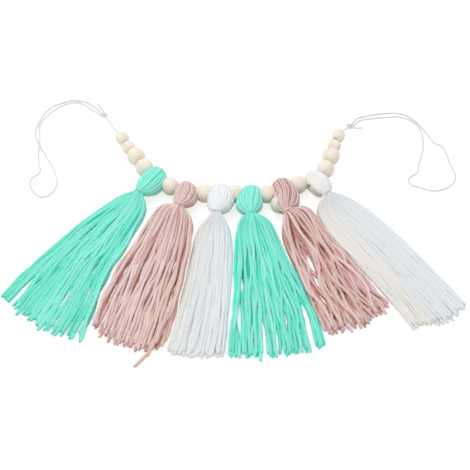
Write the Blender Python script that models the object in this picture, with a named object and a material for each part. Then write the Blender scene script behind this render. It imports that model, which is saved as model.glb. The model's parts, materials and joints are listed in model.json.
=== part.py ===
"""A garland of yarn tassels and wooden beads on one thin cord, lying on a flat surface.

The cord runs through every piece in one line, is knotted past the last bead at each end, and goes on
from each knot as a long hanging loop. Each tassel is a bundle of yarn folded over the cord, with a
wooden bead held inside the fold and a yarn tie round its neck. Units are metres, +Z is up, the surface
is z = 0, and the tassels point along -Y.
"""
import math

import bmesh
import bpy
from mathutils import Matrix, Vector

# Beads and cord
LARGE_BEAD_DIAMETER = 0.0164
LARGE_BEAD_LENGTH = 0.0152
CORE_BEAD_DIAMETER = 0.0160
SMALL_BEAD_DIAMETER = 0.0126
SMALL_BEAD_LENGTH = 0.0122
BEAD_RIM_WIDTH = 0.0006
CORD_DIAMETER = 0.0014

# Clearances
TOUCH_GAP = 0.0003
BORE_CLEARANCE = 0.0013
CORD_REST_GAP = 0.0008
LEFT_BEAD_SLACK = 0.0017
RIGHT_BEAD_SLACK = 0.0022
CHANNEL_CLEARANCE = 0.0012
CUT_OVERRUN = 0.004

# Tassels
FOLD_WIDTH = 0.0155
FOLD_DEPTH = 0.0090
FOLD_RISE = 0.0092
HEAD_COVER = 0.0034
HEAD_SIDE_COVER = 0.0035
HEAD_ENDS = 0.0102
NECK_RADIUS = 0.0048
NECK_HEIGHT = 0.0125
TIE_WIDTH = 0.0030
TIE_THICKNESS = 0.0022
SKIRT_LENGTH = 0.155
SKIRT_WIDTH = 0.066
SKIRT_GAP = 0.0012
SKIRT_ROOT_HEIGHT = 0.0165
SKIRT_TIP_HEIGHT = 0.0054
YARN_DIAMETER = 0.0029
TIP_STAGGER = 0.0034
FLUTE_DEPTH = 0.0012

# Knots
KNOT_RADIUS = 0.0021
KNOT_WAVE = 0.00085
LEFT_LEAD = 0.0418
RIGHT_LEAD = 0.0213

# The middle bead's place, from which the string is laid out both ways
MIDDLE_BEAD_X = 0.0036
MIDDLE_BEAD_Y = 0.0371
MIDDLE_BEAD = "bead_between_3"

# Mesh fineness, in counts
BEAD_SEGMENTS = 12
BEAD_PROFILE_STEPS = 6
RING_POINTS = 24
KNOT_POINTS = 30
KNOT_SEGMENTS = 6
TIE_SEGMENTS = 12
TIE_PROFILE_POINTS = 6
CORD_STEPS_PER_PIECE = 3

# The string from left to right, and the way it heads from each piece to the next, in degrees
STRING = (
    "bead_left_1", "bead_left_2", "bead_left_3", "bead_left_4",
    "tassel_1", "bead_between_1", "tassel_2", "bead_between_2", "tassel_3", "bead_between_3",
    "tassel_4", "bead_between_4", "tassel_5", "bead_between_5", "tassel_6",
    "bead_right_4", "bead_right_3", "bead_right_2", "bead_right_1",
)
SMALL_BEADS = ("bead_left_1", "bead_left_2", "bead_right_2", "bead_right_1")
LEFT_LEAD_HEADING = -61.0
STRING_HEADINGS = (
    -63, -60, -61, -49, -39, -20, -12, -3, 1, -2, 0, 17, 29, 27, 49, 71, 76, 71,
)
RIGHT_LEAD_HEADING = 58.0

# Each tassel, as shares of the sizes above: the fold's width on the cord and its depth past it, the
# head's length and width, the bead's place along and across the head and how far the yarn follows it
# across, the neck; then how far the head leans from square to the cord, the skirt's headings at the
# neck and at its ends, its length and its widths at the width stations
TASSELS = {
    "tassel_1": dict(
        colour="mint", lean=12, headings=(-123, -119),
        fold_share=1.22, depth_share=1.10, head_share=1.00, head_width_share=1.10,
        bead_share=0.52, across_share=0.25, follow_share=1.0, neck_share=1.00,
        length_share=1.02, width_shares=(0.62, 0.90, 1.20),
    ),
    "tassel_2": dict(
        colour="pink", lean=0, headings=(-106, -104),
        fold_share=1.06, depth_share=0.85, head_share=0.86, head_width_share=0.96,
        bead_share=0.47, across_share=0.34, follow_share=1.0, neck_share=0.95,
        length_share=1.0, width_shares=(0.52, 0.82, 0.94),
    ),
    "tassel_3": dict(
        colour="white", lean=-5, headings=(-92, -97),
        fold_share=0.77, depth_share=1.05, head_share=0.98, head_width_share=0.93,
        bead_share=0.53, across_share=0.24, follow_share=1.0, neck_share=1.20,
        length_share=0.975, width_shares=(0.46, 0.58, 0.66),
    ),
    "tassel_4": dict(
        colour="mint", lean=0, headings=(-79, -81),
        fold_share=0.88, depth_share=1.00, head_share=1.04, head_width_share=1.04,
        bead_share=0.57, across_share=-0.12, follow_share=1.0, neck_share=1.00,
        length_share=0.96, width_shares=(0.42, 0.74, 1.10),
    ),
    "tassel_5": dict(
        colour="pink", lean=-18, headings=(-61, -67),
        fold_share=0.96, depth_share=1.20, head_share=1.12, head_width_share=1.00,
        bead_share=0.64, across_share=-0.62, follow_share=0.2, neck_share=1.12,
        length_share=0.872, width_shares=(0.56, 0.72, 0.84),
    ),
    "tassel_6": dict(
        colour="white", lean=-14, headings=(-55, -59),
        fold_share=1.13, depth_share=0.66, head_share=0.93, head_width_share=0.96,
        bead_share=0.52, across_share=-0.33, follow_share=0.3, neck_share=1.00,
        length_share=1.065, width_shares=(0.54, 0.78, 0.80),
    ),
}

# The rings of a head: the fold's from its back to the cord as shares of its depth, the throat's
# between the beads beside it and the swell's round the bead in it as shares of a bead's radius, with
# the width and the height at each
FOLD_RING_SHARES = ((-0.96, 0.72, 0.30), (-0.78, 0.86, 0.64), (-0.42, 0.96, 0.91), (0.0, 1.0, 1.0))
THROAT_RING_SHARES = (0.50, 0.86)
SWELL_RING_SHARES = ((0.0, 1.0, 1.0), (0.62, 0.84, 0.94))

# Where a skirt's widths are given along its length, its rings, and its height over each as a share of
# the way from its end's height to its root's
WIDTH_STATION_SHARES = (0.12, 0.38, 1.0)
SHOULDER_POWER = 0.45
SKIRT_RING_SHARES = (0.03, 0.08, 0.16, 0.28, 0.44, 0.63, 0.82, 1.0)
SKIRT_HEIGHT_SHARES = (0.98, 0.88, 0.66, 0.44, 0.28, 0.17, 0.07, 0.0)

# How much fuller than an oval the cross-sections that lie on the surface are, and how far the beads
# beside a fold lean into it where the string bends, in degrees
LYING_FULLNESS = 1.15
BEAD_LEAN = 12

# The free cord's routes, from knot to knot and out over the loop, as (x, y, z) from the knot's middle.
# The second half of each loop lies beside the first, or passes over it where they cross
LEFT_LOOP_ROUTE = (
    (-0.0027, 0.0030, 0.0011), (-0.0092, 0.0109, 0.0010), (-0.0186, 0.0186, 0.0008),
    (-0.0312, 0.0213, 0.0008), (-0.0387, 0.0185, 0.0008), (-0.0460, 0.0149, 0.0008),
    (-0.0522, 0.0094, 0.0008), (-0.0566, 0.0023, 0.0008), (-0.0600, -0.0070, 0.0008),
    (-0.0621, -0.0163, 0.0008), (-0.0625, -0.0257, 0.0008), (-0.0601, -0.0339, 0.0008),
    (-0.0555, -0.0436, 0.0008), (-0.0496, -0.0545, 0.0008), (-0.0437, -0.0662, 0.0008),
    (-0.0391, -0.0778, 0.0008), (-0.0366, -0.0885, 0.0008), (-0.0379, -0.0974, 0.0008),
    (-0.0426, -0.1045, 0.0008), (-0.0492, -0.1066, 0.0008), (-0.0556, -0.1020, 0.0008),
    (-0.0598, -0.0937, 0.0008), (-0.0605, -0.0850, 0.0008), (-0.0572, -0.0803, 0.0008),
    (-0.0539, -0.0773, 0.0008), (-0.0534, -0.0721, 0.0008), (-0.0553, -0.0644, 0.0008),
    (-0.0566, -0.0547, 0.0010), (-0.0570, -0.0484, 0.0021), (-0.0570, -0.0428, 0.0027),
    (-0.0573, -0.0361, 0.0022), (-0.0583, -0.0261, 0.0010), (-0.0596, -0.0171, 0.0008),
    (-0.0581, -0.0086, 0.0008), (-0.0530, 0.0005, 0.0008), (-0.0469, 0.0086, 0.0008),
    (-0.0393, 0.0148, 0.0008), (-0.0304, 0.0179, 0.0008), (-0.0212, 0.0159, 0.0008),
    (-0.0042, 0.0009, 0.0011),
)
RIGHT_LOOP_ROUTE = (
    (0.0025, 0.0033, 0.0011), (0.0078, 0.0109, 0.0010), (0.0146, 0.0136, 0.0008),
    (0.0242, 0.0165, 0.0008), (0.0358, 0.0183, 0.0008), (0.0453, 0.0185, 0.0008),
    (0.0527, 0.0164, 0.0008), (0.0601, 0.0103, 0.0008), (0.0656, 0.0027, 0.0008),
    (0.0703, -0.0066, 0.0008), (0.0749, -0.0175, 0.0008), (0.0781, -0.0226, 0.0008),
    (0.0824, -0.0250, 0.0008), (0.0856, -0.0297, 0.0008), (0.0871, -0.0371, 0.0008),
    (0.0892, -0.0496, 0.0008), (0.0923, -0.0637, 0.0008), (0.0903, -0.0723, 0.0008),
    (0.0845, -0.0787, 0.0008), (0.0764, -0.0829, 0.0008), (0.0678, -0.0832, 0.0008),
    (0.0593, -0.0797, 0.0008), (0.0521, -0.0770, 0.0008), (0.0494, -0.0728, 0.0008),
    (0.0503, -0.0675, 0.0008), (0.0539, -0.0641, 0.0008), (0.0575, -0.0614, 0.0008),
    (0.0596, -0.0566, 0.0008), (0.0602, -0.0504, 0.0008), (0.0633, -0.0412, 0.0008),
    (0.0663, -0.0293, 0.0008), (0.0672, -0.0174, 0.0008), (0.0663, -0.0062, 0.0008),
    (0.0626, 0.0034, 0.0008), (0.0555, 0.0103, 0.0008), (0.0458, 0.0135, 0.0008),
    (0.0334, 0.0126, 0.0008), (0.0201, 0.0108, 0.0008), (0.0104, 0.0082, 0.0009),
    (0.0040, 0.0011, 0.0011),
)
LEFT_TAIL_ROUTE = (
    (-0.0002, 0.0041, 0.0010), (-0.0026, 0.0086, 0.0008), (-0.0054, 0.0130, 0.0008),
    (-0.0076, 0.0172, 0.0008),
)
RIGHT_TAIL_ROUTE = (
    (0.0039, -0.0013, 0.0010), (0.0078, -0.0020, 0.0008), (0.0118, -0.0012, 0.0008),
)

COLOURS = {
    "mint": (0.42, 0.90, 0.80, 1.0),
    "pink": (0.84, 0.66, 0.65, 1.0),
    "white": (0.91, 0.92, 0.94, 1.0),
    "wood": (0.88, 0.80, 0.67, 1.0),
    "cord": (0.90, 0.89, 0.93, 1.0),
}
ROUGHNESS = {"mint": 0.9, "pink": 0.9, "white": 0.9, "wood": 0.6, "cord": 0.8}


def clear_scene():
    for obj in list(bpy.data.objects):
        bpy.data.objects.remove(obj, do_unlink=True)


def material(name):
    """The material of that name, made once: a plain Principled BSDF."""
    if name in bpy.data.materials:
        return bpy.data.materials[name]
    made = bpy.data.materials.new(name)
    made.use_nodes = True
    shader = made.node_tree.nodes["Principled BSDF"]
    shader.inputs["Base Color"].default_value = COLOURS[name]
    shader.inputs["Roughness"].default_value = ROUGHNESS[name]
    return made


def add_object(name, mesh, finish, place=None, hinge=None):
    """Links a mesh as a named object with its material, at the 4x4 place, held by a hinge's empty."""
    mesh.materials.append(material(finish))
    obj = bpy.data.objects.new(name, mesh)
    bpy.context.scene.collection.objects.link(obj)
    if hinge is not None:
        obj.parent = hinge
        obj.matrix_parent_inverse = hinge.matrix_basis.inverted()
    if place is not None:
        obj.matrix_basis = place
    return obj


def add_hinge(name, place):
    """An empty whose X axis is the line that a tassel swings about."""
    hinge = bpy.data.objects.new(name, None)
    hinge.empty_display_size = LARGE_BEAD_DIAMETER
    bpy.context.scene.collection.objects.link(hinge)
    hinge.matrix_basis = place
    return hinge


def mesh_from(name, bm):
    """Closes a bmesh into a smooth-shaded mesh with outward faces."""
    bmesh.ops.recalc_face_normals(bm, faces=bm.faces)
    mesh = bpy.data.meshes.new(name)
    bm.to_mesh(mesh)
    bm.free()
    mesh.shade_smooth()
    mesh.set_sharp_from_angle(angle=math.radians(50))
    return mesh


def in_plane(heading):
    """The level unit vector at that heading, in degrees from +X."""
    angle = math.radians(heading)
    return Vector((math.cos(angle), math.sin(angle), 0.0))


def frame_at(place, along):
    """A 4x4 at place whose X axis points along, with Z as near up as it can be."""
    x_axis = along.normalized()
    y_axis = Vector((0.0, 0.0, 1.0)).cross(x_axis).normalized()
    z_axis = x_axis.cross(y_axis)
    turned = Matrix((x_axis, y_axis, z_axis)).transposed().to_4x4()
    return Matrix.Translation(place) @ turned


def smooth_curve(points, steps):
    """A Catmull-Rom curve through the points, with that many steps between each two."""
    first = points[0] * 2 - points[1]
    last = points[-1] * 2 - points[-2]
    held = [first] + list(points) + [last]
    out = []
    for k in range(1, len(held) - 2):
        a, b, c, d = held[k - 1:k + 3]
        for step in range(steps):
            t = step / steps
            out.append(0.5 * (
                2 * b + (c - a) * t + (2 * a - 5 * b + 4 * c - d) * t ** 2
                + (3 * b - a - 3 * c + d) * t ** 3
            ))
    out.append(points[-1])
    return out


def cord_object(name, points):
    """A round cord along the points, with closed ends."""
    curve = bpy.data.curves.new(name, "CURVE")
    curve.dimensions = "3D"
    curve.bevel_depth = CORD_DIAMETER / 2
    curve.bevel_resolution = 2
    curve.use_fill_caps = True
    spline = curve.splines.new("POLY")
    spline.points.add(len(points) - 1)
    for knot, place in zip(spline.points, points):
        knot.co = (*place, 1.0)
    curve.materials.append(material("cord"))
    obj = bpy.data.objects.new(name, curve)
    bpy.context.scene.collection.objects.link(obj)
    return obj


def bead_size(piece):
    """(diameter, length along the bore) of a bead on the string."""
    if piece in SMALL_BEADS:
        return SMALL_BEAD_DIAMETER, SMALL_BEAD_LENGTH
    return LARGE_BEAD_DIAMETER, LARGE_BEAD_LENGTH


def room_on_cord(piece):
    """The length of cord that a bead or a tassel's fold takes."""
    if piece in TASSELS:
        return FOLD_WIDTH * TASSELS[piece]["fold_share"]
    return bead_size(piece)[1]


def cord_drop():
    """How far the cord's centre lies below a bead's, where it rests on the bore."""
    return BORE_CLEARANCE - CORD_REST_GAP


def cord_height(piece):
    """The height of the cord's centre inside a piece that lies on the surface."""
    diameter = LARGE_BEAD_DIAMETER if piece in TASSELS else bead_size(piece)[0]
    return diameter / 2 - cord_drop()


def gap_between(left, right):
    """The bare cord between two neighbours on the string."""
    if left in TASSELS or right in TASSELS:
        return 0.0
    return LEFT_BEAD_SLACK if "left" in left else RIGHT_BEAD_SLACK


def lay_out_string():
    """The cord's centre point inside each piece, laid out from the middle bead both ways."""
    middle = STRING.index(MIDDLE_BEAD)
    places = {MIDDLE_BEAD: Vector((MIDDLE_BEAD_X, MIDDLE_BEAD_Y, cord_height(MIDDLE_BEAD)))}
    order = list(range(middle, len(STRING) - 1)) + list(range(middle - 1, -1, -1))
    for k in order:
        left, right = STRING[k], STRING[k + 1]
        step = (room_on_cord(left) + room_on_cord(right)) / 2 + gap_between(left, right)
        known, wanted, way = (left, right, 1) if left in places else (right, left, -1)
        place = places[known] + in_plane(STRING_HEADINGS[k]) * step * way
        place.z = cord_height(wanted)
        places[wanted] = place
    return places


def knot_places(places):
    """The middle of the left and the right knot, both lying on the surface."""
    left = places[STRING[0]] - in_plane(LEFT_LEAD_HEADING) * LEFT_LEAD
    right = places[STRING[-1]] + in_plane(RIGHT_LEAD_HEADING) * RIGHT_LEAD
    left.z = right.z = knot_height()
    return left, right


def knot_height():
    return KNOT_WAVE + CORD_DIAMETER / 2


def string_tangents(places, left_knot, right_knot):
    """The cord's direction through each piece, from its two neighbours on the string."""
    line = [left_knot] + [places[piece] for piece in STRING] + [right_knot]
    return {
        piece: (line[k + 2] - line[k]).normalized() for k, piece in enumerate(STRING)
    }


def bead_profile(diameter, length, bore):
    """The closed (x, radius) outline of a bead with a straight bore and a narrow flat rim."""
    rim = math.asin(bore / diameter + 2 * BEAD_RIM_WIDTH / diameter)
    outline = []
    for step in range(BEAD_PROFILE_STEPS + 1):
        angle = rim + (math.pi - 2 * rim) * step / BEAD_PROFILE_STEPS
        outline.append((
            length / 2 * math.cos(angle) / math.cos(rim), diameter / 2 * math.sin(angle),
        ))
    outline.append((-length / 2, bore / 2))
    outline.append((length / 2, bore / 2))
    return outline


def turned(outline, segments, closed=True):
    """A bmesh of the (x, radius) outline turned once about the X axis."""
    bm = bmesh.new()
    verts = [bm.verts.new((x, 0.0, radius)) for x, radius in outline]
    edges = [bm.edges.new(pair) for pair in zip(verts, verts[1:])]
    if closed:
        edges.append(bm.edges.new((verts[-1], verts[0])))
    bmesh.ops.spin(
        bm, geom=verts + edges, cent=(0, 0, 0), axis=(1, 0, 0), angle=math.tau,
        steps=segments, use_merge=True,
    )
    return bm


def bead_mesh(name, diameter, length):
    bore = CORD_DIAMETER + 2 * BORE_CLEARANCE
    return mesh_from(name, turned(bead_profile(diameter, length, bore), BEAD_SEGMENTS))


def add_string_bead(piece, place, tangent):
    """A bead on the string: its bore rests on the cord, and it lies on the surface."""
    centre = place + Vector((0.0, 0.0, cord_drop()))
    mesh = bead_mesh(piece, *bead_size(piece))
    return add_object(piece, mesh, "wood", frame_at(centre, tangent))


def head_length(values):
    """A head's length from the cord to the neck, round the bead in it."""
    return (CORE_BEAD_DIAMETER + HEAD_ENDS) * values["head_share"]


def core_bead_place(values, cord_point, path):
    """The centre of the bead held in a tassel's head, a little above the surface on its yarn."""
    along = head_length(values) * values["bead_share"]
    point, heading = path_at(path, along)
    across = in_plane(heading + 90) * CORE_BEAD_DIAMETER / 2 * values["across_share"]
    lift = CORE_BEAD_DIAMETER / 2 + HEAD_COVER / 2
    return Vector((point.x + across.x, point.y + across.y, lift))


def head_path(values, cord_point, tangent):
    """The head's centre line from the cord to the neck, as level points with their headings."""
    square = math.degrees(math.atan2(tangent.y, tangent.x)) - 90
    reach = head_length(values)
    start = Vector((cord_point.x, cord_point.y, 0.0))
    end = start + in_plane(square + values["lean"]) * reach
    pull_in, pull_out = in_plane(square) * reach, in_plane(values["headings"][0]) * reach
    points = []
    count = 24
    for step in range(count + 1):
        t = step / count
        points.append(
            start * (2 * t ** 3 - 3 * t ** 2 + 1) + pull_in * (t ** 3 - 2 * t ** 2 + t)
            + end * (3 * t ** 2 - 2 * t ** 3) + pull_out * (t ** 3 - t ** 2)
        )
    return points


def path_at(points, along):
    """The point and heading at a distance along level points, run on straight before and past them."""
    left = along
    for a, b in zip(points, points[1:]):
        step = (b - a).length
        if left <= step or b is points[-1]:
            way = (b - a).normalized()
            return a + way * left, math.degrees(math.atan2(way.y, way.x))
        left -= step
    return points[-1], 0.0


def path_length(points):
    return sum((b - a).length for a, b in zip(points, points[1:]))


def skirt_path(values, neck):
    """The skirt's centre line from the neck, turning evenly from its first heading to its last."""
    first, last = values["headings"]
    length = SKIRT_LENGTH * values["length_share"]
    count = 40
    points = [neck.copy()]
    for step in range(count):
        heading = first + (last - first) * (step + 0.5) / count
        points.append(points[-1] + in_plane(heading) * length / count)
    return points


def skirt_half_width(values, share):
    """Half the skirt's width at a share of its length: a quick rise from the neck, then an even fan."""
    stations = (0.0,) + WIDTH_STATION_SHARES
    widths = (NECK_RADIUS * values["neck_share"],) + tuple(
        SKIRT_WIDTH / 2 * width for width in values["width_shares"]
    )
    k = next(k for k, station in enumerate(stations) if share <= station or station == 1.0)
    k = max(k, 1)
    part = (share - stations[k - 1]) / (stations[k] - stations[k - 1])
    if k == 1:
        part = part ** SHOULDER_POWER
    return widths[k - 1] + (widths[k] - widths[k - 1]) * part


def ring(centre, heading, half_width, bottom, side, top, flute, fullness=1.0, reach=None):
    """One closed cross-section, square to the heading, with a fluted crown.

    A fullness over 1 flattens the underside and squares the crown a little.
    """
    across = in_plane(heading + 90)
    along = in_plane(heading)
    points = []
    for k in range(RING_POINTS):
        angle = math.tau * (k + 0.5) / RING_POINTS
        column = min(k, RING_POINTS - 1 - k)
        groove = flute if column % 2 else 0.0
        spread = (half_width - groove) * math.cos(angle)
        if math.sin(angle) > 0:
            height = side + (top - groove - side) * math.sin(angle) ** (1 / fullness)
        else:
            height = max(bottom, side + (side - bottom) * fullness ** 3 * math.sin(angle))
        point = centre + across * spread
        point.z = height
        if reach is not None:
            point += along * reach(spread, column)
        points.append(point)
    return points


def lofted(rings):
    """A bmesh skin over the rings, closed at each end by strips between its upper and lower halves."""
    bm = bmesh.new()
    rows = [[bm.verts.new(point) for point in points] for points in rings]
    for row, following in zip(rows, rows[1:]):
        for k in range(RING_POINTS):
            n = (k + 1) % RING_POINTS
            bm.faces.new((row[k], row[n], following[n], following[k]))
    for row in (rows[0], rows[-1]):
        for k in range(RING_POINTS // 2 - 1):
            low = RING_POINTS - 1 - k
            bm.faces.new((row[k], row[k + 1], row[low - 1], row[low]))
    return bm


def side_room(values, out):
    """Half the width free for a tassel between the beads beside it, that far from the cord's line."""
    half = FOLD_WIDTH * values["fold_share"] / 2 + LARGE_BEAD_LENGTH / 2 - TOUCH_GAP * 2
    lean = out * (math.sin(math.radians(BEAD_LEAN)) + math.sin(math.radians(abs(values["lean"]))) / 2)
    bead_half = math.sqrt(max(0.0, 1 - (2 * out / LARGE_BEAD_DIAMETER) ** 2)) * LARGE_BEAD_LENGTH / 2
    return half - lean - bead_half


def fold_rings(values, cord_point, path):
    """The rings of the yarn where it turns round the cord, from its back to the cord's line."""
    depth = FOLD_DEPTH * values["depth_share"]
    rings = []
    for share, width_share, height_share in FOLD_RING_SHARES:
        point, heading = path_at(path, depth * share)
        half_width = side_room(values, 0.0) * width_share
        side = cord_point.z
        rings.append(ring(
            point, heading, half_width, side * (1 - height_share), side,
            side + FOLD_RISE * height_share, FLUTE_DEPTH / 2, LYING_FULLNESS,
        ))
    return rings


def swell_rings(values, cord_point, path):
    """The rings of the yarn between the beads beside it and then over and round the bead in it."""
    radius = CORE_BEAD_DIAMETER / 2
    bead_along = head_length(values) * values["bead_share"]
    wide = (CORE_BEAD_DIAMETER / 2 + HEAD_SIDE_COVER) * values["head_width_share"]
    low_top = cord_point.z + FOLD_RISE
    top = CORE_BEAD_DIAMETER + HEAD_COVER * 1.5
    rows = []
    for share in THROAT_RING_SHARES:
        along = radius * share
        rise = along / bead_along
        rows.append((along, side_room(values, along), low_top + (top - low_top) * rise, 0.0))
    for share, width_share, top_share in SWELL_RING_SHARES:
        rows.append((bead_along + radius * share, wide * width_share, top * top_share, 1.0))
    rings = []
    for along, half_width, height, shift_share in rows:
        point, heading = path_at(path, along)
        shift = radius * values["across_share"] * values["follow_share"] * shift_share
        rings.append(ring(
            point + in_plane(heading + 90) * shift, heading, min(half_width, wide), 0.0,
            height * 0.45, height, FLUTE_DEPTH / 2, LYING_FULLNESS,
        ))
    return rings


def neck_rings(values, path):
    """The two round rings of the neck, a tie's width apart."""
    neck = NECK_RADIUS * values["neck_share"]
    reach = path_length(path)
    half = TIE_WIDTH / 2 + TOUCH_GAP
    rings = []
    for along in (reach - half, reach + half):
        point, heading = path_at(path, along)
        rings.append(ring(
            point, heading, neck, NECK_HEIGHT - neck, NECK_HEIGHT, NECK_HEIGHT + neck, 0.0,
        ))
    return rings


def end_reach(values):
    """How far each column of the skirt's last ring runs past or short of its length.

    The strands are one length, so their ends lie on an arc about the neck, a little uneven.
    """
    length = SKIRT_LENGTH * values["length_share"]

    def reach(spread, column):
        arc = math.sqrt(length ** 2 - spread ** 2) - length
        return arc + TIP_STAGGER * math.sin(2.4 * column + values["lean"])
    return reach


def shared_edge(lines, left, right, share):
    """The point where two neighbouring skirts meet at a share of their lengths."""
    halves, points = [], []
    for name in (left, right):
        skirt = lines[name][1]
        points.append(path_at(skirt, path_length(skirt) * share)[0])
        halves.append(skirt_half_width(TASSELS[name], share))
    return points[0] + (points[1] - points[0]) * halves[0] / (halves[0] + halves[1])


def skirt_sides(name, lines, share):
    """How far a skirt reaches left and right of its middle line, short of the skirts beside it."""
    skirt = lines[name][1]
    point, heading = path_at(skirt, path_length(skirt) * share)
    across = in_plane(heading + 90)
    left = right = skirt_half_width(TASSELS[name], share)
    order = list(TASSELS)
    place = order.index(name)
    if place > 0:
        edge = shared_edge(lines, order[place - 1], name, share)
        left = min(left, (point - edge).dot(across) - SKIRT_GAP / 2)
    if place < len(order) - 1:
        edge = shared_edge(lines, name, order[place + 1], share)
        right = min(right, (edge - point).dot(across) - SKIRT_GAP / 2)
    return left, right


def skirt_rings(name, lines):
    """The rings of the skirt, which widens and flattens from the neck to its uneven ends."""
    path = lines[name][1]
    length = path_length(path)
    edge = YARN_DIAMETER / 2
    rings = []
    for share, height_share in zip(SKIRT_RING_SHARES, SKIRT_HEIGHT_SHARES):
        point, heading = path_at(path, length * share)
        left, right = skirt_sides(name, lines, share)
        middle = point + in_plane(heading + 90) * (right - left) / 2
        top = SKIRT_TIP_HEIGHT + (SKIRT_ROOT_HEIGHT - SKIRT_TIP_HEIGHT) * height_share
        side = edge + (top / 2 - edge) * height_share
        rings.append(ring(
            middle, heading, (left + right) / 2, 0.0, side, top, FLUTE_DEPTH, LYING_FULLNESS,
            end_reach(TASSELS[name]) if share == 1.0 else None,
        ))
    return rings


def add_cutter(name, mesh, place):
    """A hidden guide that a Boolean cuts away."""
    cutter = bpy.data.objects.new(name, mesh)
    bpy.context.scene.collection.objects.link(cutter)
    cutter.matrix_basis = place
    cutter.hide_render = True
    cutter.display_type = "WIRE"
    return cutter


def rod_mesh(name, radius, length):
    """A plain rod along X from 0 to length."""
    outline = ((0.0, 0.0), (0.0, radius), (length, radius), (length, 0.0))
    bm = turned(outline, BEAD_SEGMENTS, closed=False)
    bmesh.ops.remove_doubles(bm, verts=bm.verts, dist=TOUCH_GAP / 30)
    return mesh_from(name, bm)


def cavity_mesh(name):
    """The room in a head for its bead: the bead's own outline without a bore, a gap larger."""
    radius = CORE_BEAD_DIAMETER / 2 + TOUCH_GAP * 1.5
    half = LARGE_BEAD_LENGTH / 2 + TOUCH_GAP * 1.5
    outline = []
    for step in range(BEAD_PROFILE_STEPS + 3):
        angle = math.pi * step / (BEAD_PROFILE_STEPS + 2)
        outline.append((half * math.cos(angle) * 1.04, radius * math.sin(angle) * 1.02))
    bm = turned(outline, BEAD_SEGMENTS, closed=False)
    bmesh.ops.remove_doubles(bm, verts=bm.verts, dist=TOUCH_GAP / 30)
    return mesh_from(name, bm)


def cut(obj, cutter):
    boolean = obj.modifiers.new(cutter.name, "BOOLEAN")
    boolean.operation = "DIFFERENCE"
    boolean.solver = "EXACT"
    boolean.object = cutter


def tassel_lines(name, place, tangent):
    """The middle lines of a tassel's head and of its skirt."""
    head = head_path(TASSELS[name], place, tangent)
    neck, neck_heading = path_at(head, path_length(head))
    return head, skirt_path(TASSELS[name], neck)


def add_tassel(name, place, tangent, lines):
    """A tassel's yarn, the bead in its head and the tie round its neck."""
    values = TASSELS[name]
    path = lines[name][0]
    neck, neck_heading = path_at(path, path_length(path))
    rings = fold_rings(values, place, path) + swell_rings(values, place, path)
    rings += neck_rings(values, path) + skirt_rings(name, lines)
    mesh = mesh_from(name, lofted(rings))
    mesh.transform(Matrix.Translation(-place))
    hinge = add_hinge(name + "_hinge", frame_at(place, -tangent))
    yarn = add_object(name + "_yarn", mesh, values["colour"], Matrix.Translation(place), hinge)

    bead_centre = core_bead_place(values, place, path)
    upright = frame_at(bead_centre, in_plane(0)) @ Matrix.Rotation(math.pi / 2, 4, "Y")
    add_object(
        name + "_core_bead", bead_mesh(name, CORE_BEAD_DIAMETER, LARGE_BEAD_LENGTH), "wood", upright,
        hinge,
    )
    cut(yarn, add_cutter(name + "_bead_room", cavity_mesh(name), upright))

    channel_radius = CORD_DIAMETER / 2 + CHANNEL_CLEARANCE
    half = side_room(values, 0.0) + CUT_OVERRUN
    start = place - tangent * half
    channel = rod_mesh(name, channel_radius, half * 2)
    cut(yarn, add_cutter(name + "_channel", channel, frame_at(start, tangent)))
    to_bead = bead_centre - place
    slot = rod_mesh(name, channel_radius, to_bead.length)
    cut(yarn, add_cutter(name + "_slot", slot, frame_at(place, to_bead)))

    add_neck_tie(name, values, neck, neck_heading, hinge)


def add_neck_tie(name, values, neck, heading, hinge):
    """The band of yarn wound round a tassel's neck."""
    inner = NECK_RADIUS * values["neck_share"] + TOUCH_GAP
    outline = []
    for k in range(TIE_PROFILE_POINTS):
        angle = math.tau * k / TIE_PROFILE_POINTS
        outline.append((
            TIE_WIDTH / 2 * math.cos(angle),
            inner + TIE_THICKNESS / 2 * (1 + math.sin(angle)),
        ))
    centre = Vector((neck.x, neck.y, NECK_HEIGHT))
    mesh = mesh_from(name, turned(outline, TIE_SEGMENTS))
    place = frame_at(centre, in_plane(heading))
    add_object(name + "_neck_tie", mesh, values["colour"], place, hinge)


def add_knot(name, centre):
    """A small overhand knot: one strand of cord along a trefoil."""
    points = []
    for k in range(KNOT_POINTS):
        t = math.tau * k / KNOT_POINTS
        out = KNOT_RADIUS + KNOT_WAVE * math.cos(3 * t)
        points.append(centre + Vector((
            out * math.cos(2 * t), out * math.sin(2 * t), KNOT_WAVE * math.sin(3 * t),
        )))
    bm = bmesh.new()
    rows = []
    for k, point in enumerate(points):
        way = (points[(k + 1) % KNOT_POINTS] - points[k - 1]).normalized()
        side = way.cross(Vector((0.0, 0.0, 1.0))).normalized()
        rise = side.cross(way)
        row = []
        for s in range(KNOT_SEGMENTS):
            angle = math.tau * s / KNOT_SEGMENTS
            offset = side * math.cos(angle) + rise * math.sin(angle)
            row.append(bm.verts.new(point + offset * CORD_DIAMETER / 2))
        rows.append(row)
    for k, row in enumerate(rows):
        following = rows[(k + 1) % KNOT_POINTS]
        for s in range(KNOT_SEGMENTS):
            n = (s + 1) % KNOT_SEGMENTS
            bm.faces.new((row[s], row[n], following[n], following[s]))
    return add_object(name, mesh_from(name, bm), "cord")


def threaded_route(places, left_knot, right_knot):
    """The cord's centre line from knot to knot, through every piece."""
    clear = KNOT_RADIUS + KNOT_WAVE + CORD_DIAMETER / 2 + TOUCH_GAP
    first, last = places[STRING[0]], places[STRING[-1]]
    left_end = left_knot + (first - left_knot).normalized() * clear
    right_end = right_knot + (last - right_knot).normalized() * clear
    return [left_end] + [places[piece] for piece in STRING] + [right_end]


def loose_points(route, knot, steps):
    """A free cord's points: its route laid out from the knot's middle, made smooth."""
    ground = Vector((knot.x, knot.y, 0.0))
    return smooth_curve([ground + Vector(point) for point in route], steps)


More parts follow.
